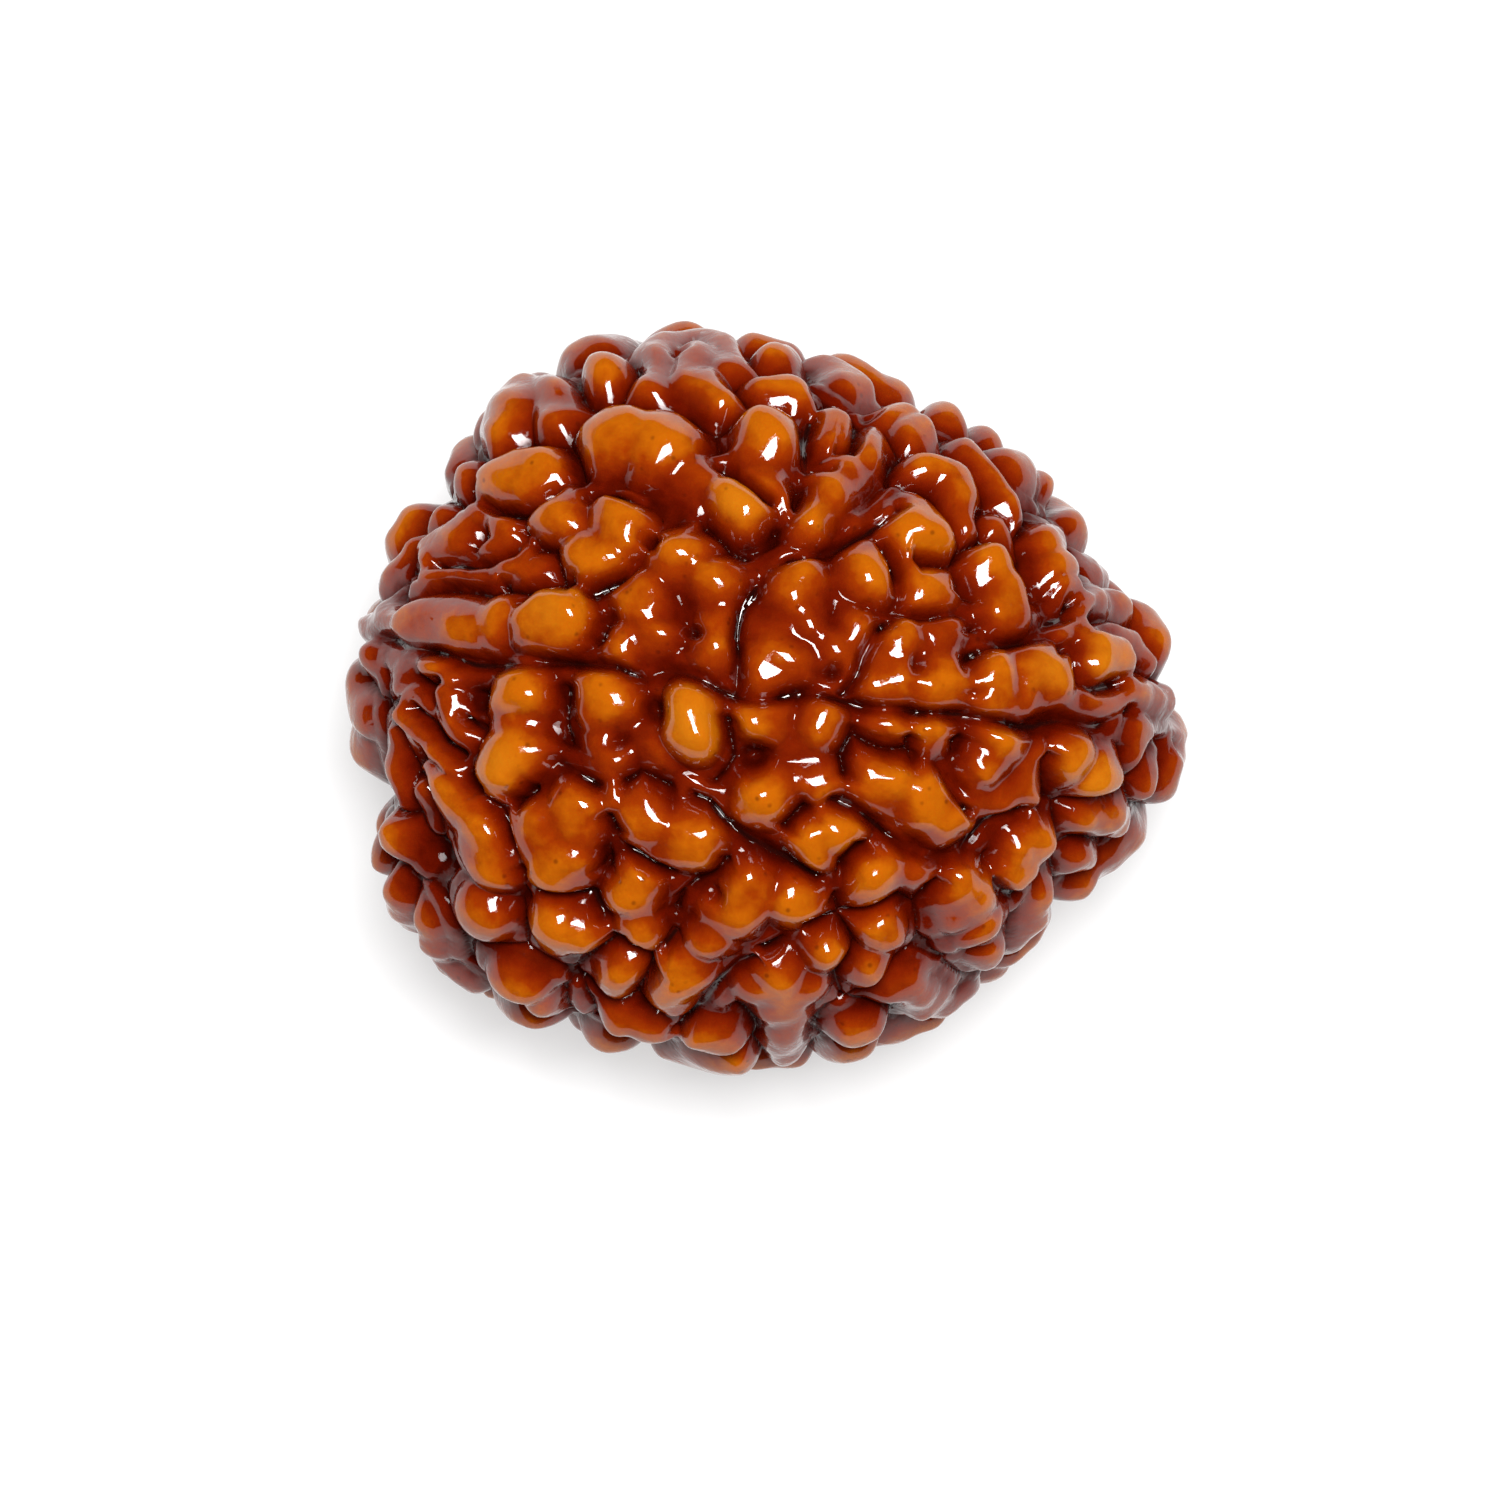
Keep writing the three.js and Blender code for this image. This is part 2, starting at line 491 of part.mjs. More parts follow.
// The whole stone as one closed mesh over a grid, with the rest spot cut flat.
const { points, triangles } = gridDirections();
const places = new Float32Array(points.length * 3);
points.forEach((n, i) => {
  const p = bodyPoint(n);
  const high = relief(p, lumps, lines, pits);
  p.addScaledVector(bodyNormal(p), high);
  p.z = Math.max(p.z + REST_DEPTH, 0);
  places.set([p.x + MIDDLE[0], p.y + MIDDLE[1], p.z], i * 3);
});
const geometry = new THREE.BufferGeometry();
geometry.setAttribute("position", new THREE.BufferAttribute(places, 3));
geometry.setIndex(triangles);
geometry.computeVertexNormals();

const material = new THREE.MeshStandardMaterial({ color: SEED_COLOUR, roughness: ROUGHNESS });
const seed = new THREE.Mesh(geometry, material);
seed.name = "seed";
const group = new THREE.Group();
group.name = "rudraksha_seed";
group.add(seed);

export default group;
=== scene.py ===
"""A rudraksha seed, oiled and glossy, lying on a pale floor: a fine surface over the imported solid.

Shapes are worked out in millimetres about the middle of the seed's plain body, then set down in metres.
"""

import bpy
import numpy as np
from mathutils import Matrix


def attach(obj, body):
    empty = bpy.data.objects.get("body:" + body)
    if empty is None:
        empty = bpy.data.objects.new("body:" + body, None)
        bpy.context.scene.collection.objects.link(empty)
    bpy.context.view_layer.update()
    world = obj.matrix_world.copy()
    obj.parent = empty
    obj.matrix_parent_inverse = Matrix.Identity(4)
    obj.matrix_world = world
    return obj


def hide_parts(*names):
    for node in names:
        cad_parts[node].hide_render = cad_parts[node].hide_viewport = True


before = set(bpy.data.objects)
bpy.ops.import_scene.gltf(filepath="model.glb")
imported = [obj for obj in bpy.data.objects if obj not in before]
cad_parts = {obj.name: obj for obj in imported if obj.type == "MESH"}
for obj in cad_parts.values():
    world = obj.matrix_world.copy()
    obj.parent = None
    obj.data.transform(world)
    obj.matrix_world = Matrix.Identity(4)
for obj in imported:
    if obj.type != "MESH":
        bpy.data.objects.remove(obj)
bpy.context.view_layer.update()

bl_info = {
    "name": "Rudraksha seed",
    "version": (1, 0, 0),
    "blender": (4, 5, 0),
    "location": "3D View > Sidebar > Seed",
    "description": "Makes a knobbly rudraksha seed, its finish and a plain stage",
    "category": "Object",
}

MM = 0.001

# Plain body under the relief. The outline's radius every 15 degrees from +X towards +Y, which reads
# to the tops of the knobs, so the body's own radius is less by SINK.
OUTLINE = np.array([
    11.3, 10.2, 9.4, 9.2, 9.1, 8.5, 9.2, 9.7, 10.3, 10.7, 10.4, 10.4,
    11.3, 10.4, 11.1, 11.3, 10.3, 9.6, 9.5, 9.5, 9.3, 9.5, 9.2, 9.8,
])
OUTLINE_STEP = 15
SINK = 0.93
HALF_HEIGHT = 6.7
SLOPE_STEP = 0.02
FOOT_ROUNDS = 5

# The broad low knob that the seed rests on, and the depth below the middle where all is cut flat.
REST_PLACE = [-0.3, -0.1]
REST_WIDTH = 1.5
REST_CROWN = 0.75
REST_DEPTH = 7.55
# The middle of the plain body in the frame.
MIDDLE = np.array([0.0, 0.05, REST_DEPTH])

# Relief: lumps with steep walls, furrows between them, small domes on each lump.
PLATEAU = 0.5
WALL = 0.6
REACH = 0.75
CROWN_REACH = 0.35
DOME_POWER = 0.75
CROWN_LEAST = 0.3
CROWN_PER_WIDTH = 0.75
BLEND = 0.16
FURROW_FLOOR = 0.28
FLOOR_SPREAD = 0.8
LINE_NEAR = 0.25
LINE_FADE = 0.45
LINE_STEEP = 1.7
FAR = 9.0
# A lump or a furrow line has no say further than this from the ball that holds it.
LUMP_SAY = 3.4
LINE_SAY = 2.5
# A bar shorter than this, squared, is a point.
POINT_SIZE = 1e-9

# The places of the seen side are given in a view from nearly above: u to the right, v up.
VIEW_TURN = np.radians(7)
VIEW_HEIGHT = np.radians(82)
RELIEF_RISE = 0.8
BODY_MEAN = 9.5
SIGHT_REACH = 12.0
SIGHT_STEP = 0.05
RIGHT = np.array([np.cos(VIEW_TURN), np.sin(VIEW_TURN), 0.0])
BACK = np.array([
    np.sin(VIEW_TURN) * np.cos(VIEW_HEIGHT), -np.cos(VIEW_TURN) * np.cos(VIEW_HEIGHT), np.sin(VIEW_HEIGHT),
])
UP = np.cross(BACK, RIGHT)

# The seeded draw: each state is the last one times a factor plus a step, within a range.
DRAW_FACTOR = 1664525
DRAW_STEP = 1013904223
DRAW_RANGE = 2**32

# Waves that make the lumps uneven: they shift the furrows and swell the tops.
WAVE_SEED = 5
WAVE_COUNT = 10
WARP_LENGTH = 1.7
WARP = 0.06
SWELL_LENGTH = 0.8
SWELL = 0.035

# Lumps of the hidden side, placed by a seeded draw.
HIDDEN_SEED = 11
HIDDEN_TRIES = 5200
HIDDEN_LEAST_WIDTH = 0.5
HIDDEN_WIDTH_SPREAD = 0.5
HIDDEN_LENGTH = 2.2
HIDDEN_TURN = 70
HIDDEN_FACING = -0.03
HIDDEN_SPACING = 0.9
JOIN_SHARE = 0.45
JOIN_GAP = 2.4

# Oil that stands in the deep furrows.
OIL_LEVEL = 0.42
OIL_REACH = 0.2
OIL_BLEND = 0.1
OIL_SEED = 23
OIL_WAVE_LENGTH = 1.1
OIL_UNEVEN = 0.04

# Meshing: cells along each edge of the cube grid, and the triangles left after thinning.
CELLS = 300
STONE_TRIANGLES = 190000
# Points of two faces that agree to one part in this many are one point on their seam.
SEAM_KEYS = 1e7

# Finish. Each pair is where a value starts and stops to count: heights and distances in mm.
KNOB_ROUNDS = 60
# The colour level falls with the height and in hollows: its dark end is partly the wood's own tone, partly
# painted shade.
RISE_RANGE = (0.2, 1.5)
RISE_SHARE = 0.45
KNOB_RANGE = (-0.4, 0.5)
KNOB_SHARE = 0.6
PATCH_SHARE = 0.6
GRAIN_SHARE = 0.3
# Colours along the level: the dark stops for the walls and hollows are partly painted shade.
TONES_AND_PAINTED_SHADE = [
    (0.0, (0.028, 0.0010, 0.0001)),
    (0.25, (0.078, 0.0032, 0.0001)),
    (0.5, (0.132, 0.0084, 0.0001)),
    (0.75, (0.200, 0.0210, 0.0001)),
]
GOLD_RANGE = (0.5, 1.15)
GOLD_SHARE = 0.75
# Painted shade: near black at the foot of each wall, and along the deep furrow lines.
FURROW_SHADE_RANGE = (0.0, 0.07)
FURROW_SHADE_SHARE = 0.4
# Painted shade along the deep furrow lines.
DEEP_SHADE_RANGE = (0.03, 0.1)
DEEP_SHADE_SHARE = 0.7
SPECK_SHARE = 0.5
SPECK_COLOUR = (0.04, 0.0018, 0.0002)

# The film of oil: its weight where the wood is low and high, in pools, and on steep and level faces.
FILM_RANGE = (0.1, 0.5)
FILM_WEIGHT = (0.05, 0.8)
POOL_RANGE = (0.04, 0.12)
FACING_RANGE = (0.15, 0.65)
FACING_WEIGHT = (0.4, 1.0)

# Noise of the skin: grains to a millimetre, detail and roughness.
PATCHES = (0.45, 3.0, 0.55)
GRAINS = (2.6, 2.0, 0.5)
SPECK_PLACES = (0.9, 2.0, 0.5)
SPECK_PLACES_RANGE = (0.5, 0.62)
SPECKS_PER_MM = 2.6
SPECK_SIZE = (0.06, 0.26)

# The photograph's frame, in its own pixels.
FRAME_PIXELS = 1500
PIXELS_PER_MM = 38.0
SEED_PIXEL = (769.0, 702.0)
CAMERA_DISTANCE = 0.6
SENSOR = 36.0

# Stage, in metres. The lamp's place from the seed's middle is to the right, up and back in the view.
FLOOR_HALF = 3.0
LAMP_PLACE = (0.03, 0.08, 0.5)

# Lumps of the seen side. Each is a list of knobs and ridges, and each of those is
# [half width, share of the usual crown, u, v, u, v, ...], with one place for a knob.
LUMPS = [
    # upper left
    [[0.75, 1.0, -7.0, 7.1, -6.7, 7.9], [0.5, 0.9, -7.5, 7.4], [0.45, 0.95, -5.9, 8.3, -5.6, 7.5],
     [0.5, 0.85, -6.3, 8.5]],
    [[0.85, 1.0, -6.8, 5.9, -6.2, 5.9]],
    [[0.5, 0.8, -8.1, 5.8]],
    [[0.42, 0.7, -8.7, 4.9]],
    [[0.5, 0.8, -9.0, 3.95, -7.9, 4.7]],
    [[0.5, 0.9, -7.2, 4.4]],
    [[0.35, 0.8, -10.3, 3.0, -9.5, 4.1]],
    [[0.22, 0.7, -9.6, 3.0, -8.4, 3.15, -7.3, 3.2]],
    [[0.42, 0.8, -6.8, 3.5, -6.0, 3.5]],
    [[0.72, 1.0, -5.5, 4.75], [0.7, 1.0, -5.0, 3.75, -4.7, 3.7], [0.75, 1.0, -3.9, 4.7]],
    # top
    [[0.7, 1.0, -4.3, 8.6]],
    [[0.42, 0.9, -3.3, 8.2, -3.1, 9.3, -2.2, 9.7, -1.4, 9.3, -1.1, 8.7],
     [0.36, 1.1, -2.1, 9.1, -2.2, 8.4], [0.5, 1.0, -1.7, 8.3, -1.2, 7.9]],
    [[0.8, 1.1, -4.2, 6.8, -3.9, 6.85], [0.78, 1.15, -3.1, 6.8, -2.9, 6.6],
     [0.45, 0.95, -2.3, 6.1, -2.0, 5.8], [0.45, 0.9, -1.6, 5.5], [0.55, 1.15, -1.1, 5.05, -0.8, 4.9]],
    [[0.75, 1.1, -0.2, 6.8], [0.5, 0.9, -0.2, 6.3, 0.0, 5.6]],
    [[0.45, 1.0, -0.3, 9.0, 0.3, 9.0], [0.48, 1.0, -0.3, 8.15, 0.3, 8.1]],
    [[0.5, 1.0, 1.35, 8.9, 1.9, 8.3]],
    [[0.5, 1.0, 1.7, 7.2, 1.7, 6.8]],
    [[0.5, 1.0, 0.9, 4.65, 1.6, 5.4, 2.3, 6.3, 2.65, 6.8]],
    # upper right
    [[0.55, 1.0, 3.35, 7.3], [0.5, 1.0, 3.85, 6.9]],
    [[0.62, 1.0, 4.9, 7.4]],
    [[0.5, 0.95, 4.1, 5.95, 4.8, 5.9, 5.15, 5.1, 5.1, 4.6]],
    [[0.78, 1.05, 3.9, 4.4, 4.1, 4.4]],
    [[0.62, 1.0, 4.2, 2.95]],
    [[0.68, 1.05, 5.75, 3.45], [0.55, 1.0, 6.15, 2.7, 6.2, 2.3]],
    [[0.3, 0.9, 5.3, 6.5, 5.8, 5.9, 6.2, 5.2, 6.6, 4.7], [0.7, 0.9, 6.5, 6.0], [0.5, 1.0, 7.1, 5.6]],
    [[0.45, 0.8, 6.0, 4.45]],
    [[0.6, 1.0, 7.3, 4.1], [0.58, 1.05, 7.65, 3.3]],
    [[0.4, 0.7, 8.9, 3.3]],
    [[0.4, 0.8, 8.3, 2.45, 9.4, 2.3]],
    # above the line, left and middle
    [[0.3, 0.8, -10.6, 2.2, -9.5, 2.0], [0.45, 1.0, -9.5, 2.0, -8.5, 2.0, -7.2, 2.2],
     [0.62, 1.1, -7.1, 2.2], [0.7, 1.25, -6.1, 2.15, -5.6, 2.1]],
    [[0.7, 0.9, -2.3, 3.8], [0.5, 0.9, -1.45, 3.1], [0.4, 0.8, -1.35, 2.1], [0.45, 0.85, -1.6, 1.35],
     [0.45, 0.9, -3.9, 1.4], [0.45, 0.85, -3.1, 1.6], [0.55, 0.9, -3.4, 2.6]],
    [[0.7, 0.95, 2.55, 3.2], [0.7, 0.8, 0.7, 2.95], [0.38, 0.8, 1.05, 2.05],
     [0.5, 0.85, 0.0, 1.0, 0.5, 0.85], [0.5, 0.8, 2.35, 1.75], [0.4, 0.65, 0.2, 1.9],
     [0.45, 0.6, 1.6, 1.25], [0.3, 0.6, 1.75, 2.5]],
    [[0.55, 0.95, 2.9, 0.6, 3.4, 0.55], [0.58, 0.95, 4.3, 0.55, 4.8, 0.5], [0.55, 0.9, 3.5, 1.45],
     [0.5, 0.9, 4.6, 1.6]],
    [[0.6, 1.05, 5.8, 0.4, 6.1, 0.45], [0.6, 1.15, 6.9, 0.55, 7.4, 0.6],
     [0.28, 0.9, 7.9, 0.2, 9.5, -0.1, 10.5, 0.1]],
    [[0.6, 1.2, 8.7, 1.0, 9.0, 0.95], [0.25, 0.9, 7.9, 1.5, 8.8, 1.85, 9.7, 1.5, 10.2, 0.8]],
    # below the line, left
    [[0.68, 1.05, -6.6, 0.2], [0.5, 0.9, -6.7, -0.8], [0.75, 1.1, -6.9, -1.75], [0.5, 1.0, -6.5, -1.5]],
    [[0.38, 0.9, -9.0, 0.85]],
    [[0.38, 0.9, -8.6, 0.2, -8.2, -0.7]],
    [[0.3, 0.8, -10.7, 1.2]],
    [[0.3, 0.7, -9.9, 0.5, -9.2, -0.1]],
    [[0.36, 0.8, -9.8, -0.3, -9.3, -1.1, -8.7, -1.5]],
    [[0.28, 0.7, -10.0, -0.9, -9.8, -2.8]],
    [[0.36, 0.8, -9.2, -2.4]],
    [[0.45, 1.0, -9.0, -1.7, -8.5, -2.3, -8.1, -3.0], [0.5, 1.0, -7.8, -3.6, -7.4, -4.4],
     [0.58, 1.05, -7.7, -5.6]],
    [[0.6, 0.95, -9.8, -3.6], [0.55, 0.9, -10.1, -4.3]],
    [[0.65, 1.0, -6.1, -3.3], [0.65, 1.0, -5.1, -3.1], [0.7, 1.0, -5.6, -4.1]],
    [[0.65, 1.0, -4.4, 0.0], [0.65, 1.3, -2.1, -0.4, -2.1, -0.8], [0.5, 0.6, -4.5, -1.1, -4.1, -1.8],
     [0.5, 0.6, -3.0, -1.6]],
    # below the line, right
    [[0.6, 0.9, -0.1, -0.45], [0.5, 1.0, 1.4, -0.7], [0.75, 0.9, 0.0, -2.6], [0.5, 0.85, 1.2, -2.1],
     [0.4, 0.6, 0.9, -1.3]],
    [[0.42, 0.9, 3.2, -0.75]],
    [[0.48, 0.9, 4.35, -0.75]],
    [[0.6, 0.95, 2.7, -2.0, 3.2, -2.15], [0.65, 1.1, 4.0, -2.45, 4.6, -2.9]],
    [[0.6, 1.05, 6.2, -0.9], [0.55, 1.0, 5.8, -1.6],
     [0.38, 0.9, 6.9, -1.4, 6.9, -2.1, 6.2, -2.5, 5.6, -2.4]],
    [[0.55, 1.15, 8.0, -1.4], [0.6, 1.25, 8.7, -1.75]],
    [[0.36, 0.8, 9.9, -1.2]],
    [[0.36, 0.8, 10.1, -2.0]],
    [[0.5, 0.9, 8.5, -2.8, 9.3, -2.9]],
    [[0.5, 0.8, 8.4, -3.9]],
    [[0.6, 1.05, 7.1, -3.5], [0.65, 1.05, 6.5, -4.1]],
    [[0.65, 1.1, 5.0, -4.9, 5.2, -5.2], [0.55, 1.0, 5.6, -5.8], [0.4, 0.9, 5.7, -6.6]],
    # lower
    [[0.55, 1.0, -3.7, -2.85, -3.3, -3.3], [0.6, 1.0, -2.5, -3.7, -1.9, -3.75], [0.4, 0.8, -3.1, -3.9]],
    [[0.55, 1.05, 1.15, -3.7], [0.6, 1.05, 1.75, -3.55]],
    [[0.68, 1.0, 2.8, -4.7], [0.45, 0.9, 3.8, -4.6]],
    [[0.65, 1.05, 2.8, -6.0], [0.5, 1.0, 2.5, -6.8]],
    [[0.6, 1.0, -0.6, -5.0, -1.0, -5.5], [0.5, 0.95, -1.5, -6.2], [0.62, 1.0, -2.2, -6.9, -2.7, -7.5],
     [0.55, 1.0, 0.7, -5.3]],
    [[0.62, 1.1, -3.7, -5.0], [0.55, 1.05, -3.5, -5.9]],
    [[0.62, 0.9, -3.8, -7.2]],
    [[0.6, 0.9, -4.0, -8.2], [0.6, 0.9, -3.2, -8.5]],
    [[0.7, 0.9, -1.5, -8.7]],
    [[0.5, 1.0, 0.1, -7.1], [0.55, 1.0, 1.5, -6.6], [0.42, 0.9, -0.3, -7.6, 0.9, -7.5],
     [0.45, 0.9, 0.3, -7.8, 0.3, -9.3]],
    [[0.42, 0.8, 7.2, -5.0, 6.7, -6.3]],
    [[0.42, 0.8, 3.4, -7.5, 4.5, -8.0, 5.3, -8.0]],
    [[0.65, 0.9, 2.3, -8.5]],
    [[0.7, 1.05, -5.7, -5.9], [0.55, 1.0, -5.0, -6.1]],
    [[0.65, 1.0, -6.8, -7.3], [0.5, 1.0, -6.2, -7.8]],
    [[0.42, 0.9, -9.2, -5.8, -9.0, -6.6, -8.0, -7.4]],
    [[0.28, 0.7, -5.25, -8.0]],
]
# The furrow line of the seen side, from the stem pole to the tip.
MOUTH = [
    -10.9, 1.6, -10.0, 1.5, -9.0, 1.25, -8.0, 1.05, -7.0, 1.02, -5.8, 0.95, -4.9, 0.9, -4.2, 0.85, -3.4,
    0.45, -2.9, 0.58, -1.9, 0.45, -1.0, 0.25, 0.0, 0.1, 1.0, -0.02, 2.0, -0.1, 3.0, -0.25, 4.0, -0.35,
    5.2, -0.3, 6.3, -0.35, 7.2, -0.65, 8.3, -0.58, 9.5, -0.5, 10.9, -0.45,
]
# Narrow deep furrows between the lumps: places of each furrow's path, u and v.
LINES = [
    MOUTH,
    [-9, 3.5, -8, 3.45, -7.2, 3.7, -6.8, 3.9],
    [-7.4, 5.1, -7.1, 4.9, -6.3, 5.0, -5.6, 5.4],
    [-4.6, 5.4, -4, 5.5, -3.1, 5.2, -2.6, 4.9],
    [-4.7, 2.7, -4.1, 3.1, -3.6, 3.6],
    [-1.3, 6.2, -0.9, 5.8, -0.2, 5.2],
    [0.9, 7.5, 0.85, 6.8, 1.0, 6.2, 1.5, 6.0],
    [-0.85, 0.3, -0.8, 1.8, -0.7, 2.4, -0.4, 3.0, 0, 3.4, 0.5, 3.65, 1.2, 3.8, 2.0, 4.1, 2.7, 4.4, 3.35,
     5.05],
    [3.1, 3.9, 3.3, 3.5, 3.3, 2.1, 2.9, 1.6, 2.4, 1.1, 1.9, 0.1],
    [3.4, 2.3, 4.3, 2.15, 5.0, 2.2],
    [5.1, 0.85, 5.8, 1.15, 6.7, 1.45, 7.6, 1.95, 8.0, 2.1, 8.05, 2.5],
    [8.1, 0.65, 8.6, 0.3, 9.3, 0.2],
    [-9.5, -0.2, -9.0, -0.7, -8.7, -1.1, -8.2, -1.4],
    [-8.0, -0.3, -7.6, -0.7],
    [-5.8, -1.8, -4.6, -2.45],
    [-7.3, -3.0, -6.9, -3.75],
    [-2.0, -2.6, -1.6, -2.7, -1.2, -3.2, -0.5, -3.8, 0.1, -4.2, 1.2, -4.6],
    [1.7, -2.6, 2.2, -2.85, 3.1, -3.5, 4.2, -4.1, 5.0, -4.1, 5.5, -3.4, 5.8, -3.1, 6.8, -2.85],
    [4.5, -1.6, 5.2, -2.7],
    [5.8, -4.6, 6.5, -5.1],
    [-3.8, -4.1, -3.2, -4.4, -2.7, -4.55],
    [-2.8, -6.4, -2.5, -6.1],
    [-6, -4.9, -4.8, -5.05, -4.5, -5.7],
    [-0.2, -6.5, 0.3, -6.3],
    [-0.4, -6.8, -1.5, -7.7, -2.4, -8.6],
]
# Small pits: u, v, radius, depth.
PITS = [
    [-2.5, 9.1, 0.25, 0.5], [2.7, 7.5, 0.25, 0.4], [-6.6, 2.55, 0.2, 0.5], [-2.1, 1.75, 0.22, 0.5],
    [1.6, 0.75, 0.2, 0.4], [-3.3, -0.3, 0.25, 0.5], [-4.0, -1.2, 0.22, 0.3], [-0.3, -1.6, 0.4, 0.5],
    [-7.6, 0.2, 0.35, 0.4], [-1.5, -5.1, 0.2, 0.5], [-5.0, -7.4, 0.25, 0.4], [3.9, 0.9, 0.18, 0.3],
    [-8.9, -4.0, 0.4, 0.5],
]
# Knobs of a paler, golden colour: u, v, reach.
GOLDEN = [
    [8.4, 0.9, 1.8], [8.6, -1.5, 1.6], [10.2, -0.4, 1.8], [8.8, -2.9, 1.3], [7.2, 0.6, 1.0],
    [9.0, 2.3, 1.4], [-2.1, -0.6, 1.2], [-5.8, 2.1, 0.9], [-0.9, 5.0, 0.9], [-9.0, -5.0, 1.5],
    [-6.9, -1.8, 0.9],
]
# The furrow line of the hidden side: x and y of its path, from pole to pole.
HIDDEN_MOUTH = [
    -11.4, 0.2, -9.6, 0.45, -7.4, 0.2, -5.0, 0.55, -2.6, 0.3, -0.4, 0.6, 2.0, 0.25, 4.4, 0.4,
    6.8, 0.05, 9.0, 0.3, 11.4, 0.1,
]


def outline_radius(p):
    """Radius of the body's widest section towards each point's angle, by a cubic B-spline."""
    place = np.degrees(np.arctan2(p[..., 1], p[..., 0])) % 360 / OUTLINE_STEP
    whole = np.floor(place).astype(int)
    t = place - whole
    before, here, after, beyond = (OUTLINE[(whole + k) % len(OUTLINE)] for k in (-1, 0, 1, 2))
    total = (1 - t) ** 3 * before + (3 * t**3 - 6 * t**2 + 4) * here
    total = total + (-3 * t**3 + 3 * t**2 + 3 * t + 1) * after + t**3 * beyond
    return total / 6 - SINK


def body_size(p):
    """Squared size of each point against the body: 1 on its surface."""
    r = outline_radius(p)
    return (p[..., 0] / r) ** 2 + (p[..., 1] / r) ** 2 + (p[..., 2] / HALF_HEIGHT) ** 2


def body_point(n):
    """A unit direction stretched to the outline radius across and to the half height upwards."""
    r = outline_radius(n)
    return n * np.stack([r, r, np.full_like(r, HALF_HEIGHT)], -1)


def to_body(p):
    """Each point moved straight towards or away from the middle until its size is 1."""
    return p / np.sqrt(body_size(p))[..., None]


def body_normal(p):
    """Outward normal of the body: the slope of its size over a small step along each axis, made unit."""
    slope = np.stack([body_size(p + d) - body_size(p - d) for d in np.eye(3) * SLOPE_STEP], -1)
    return slope / np.linalg.norm(slope, axis=-1, keepdims=True)


def seen(places):
    """Body points under places of the view: the first point inside the grown body along each line of sight.

    A line that misses goes to the point where it comes nearest.
    """
    places = np.reshape(np.asarray(places, float), (-1, 2))
    depth = np.arange(SIGHT_REACH, -SIGHT_REACH - SIGHT_STEP / 2, -SIGHT_STEP)
    start = places[:, :1] * RIGHT + places[:, 1:] * UP
    along = start[:, None, :] + depth[None, :, None] * BACK
    size = body_size(along / (1 + RELIEF_RISE / BODY_MEAN))
    first = np.argmax(size < 1, 1)
    missed = ~(size < 1).any(1)
    first[missed] = np.argmin(size, 1)[missed]
    return to_body(along[np.arange(len(places)), first])


def under(places):
    """Body points straight above places of the underside."""
    places = np.reshape(np.asarray(places, float), (-1, 2))
    flat = np.concatenate([places, np.zeros((len(places), 1))], 1)
    share = np.clip(1 - (places**2).sum(1) / outline_radius(flat) ** 2, 0, None)
    flat[:, 2] = -HALF_HEIGHT * np.sqrt(share)
    return to_body(flat)


def crown(width, share):
    """Height of a dome over its lump's plateau: it grows with the dome's half width."""
    return (CROWN_LEAST + CROWN_PER_WIDTH * width) * share


def bars(width, share, points):
    """A knob or ridge as straight bars (start, end, half width, rise) between its points."""
    if len(points) == 1:
        points = np.repeat(points, 2, 0)
    rise = crown(width, share)
    return [(a, b, width, rise) for a, b in zip(points[:-1], points[1:])]


def seen_lumps():
    """Every lump of the seen side as a list of bars."""
    return [[bar for row in lump for bar in bars(row[0], row[1], seen(row[2:]))] for lump in LUMPS]


def drawer(seed):
    """A seeded draw of numbers from 0 to 1 by a linear congruence."""
    state = seed

    def draw():
        nonlocal state
        state = (state * DRAW_FACTOR + DRAW_STEP) % DRAW_RANGE
        return state / DRAW_RANGE

    return draw


def drawn_direction(draw):
    """A unit vector, even over the sphere."""
    z = 1 - 2 * draw()
    angle = 2 * np.pi * draw()
    flat = np.sqrt(1 - z * z)
    return np.array([flat * np.cos(angle), flat * np.sin(angle), z])


def drawn_waves(draw, length, size):
    """Waves as (course, phase, push); the course's length is the wave's angle per mm."""
    waves = []
    for _ in range(WAVE_COUNT):
        course = drawn_direction(draw) * 2 * np.pi / (length * (1 + draw()))
        phase = 2 * np.pi * draw()
        waves.append((course, phase, drawn_direction(draw) * size))
    return waves


def waved(p, waves):
    """The sum over the waves of push times the sine of course times place plus phase."""
    return sum(np.sin(p @ course + phase)[:, None] * push for course, phase, push in waves)


def turned(vector, axis, angle):
    """A vector turned about a unit axis."""
    cosine, sine = np.cos(angle), np.sin(angle)
    return vector * cosine + np.cross(axis, vector) * sine + axis * (axis @ vector) * (1 - cosine)


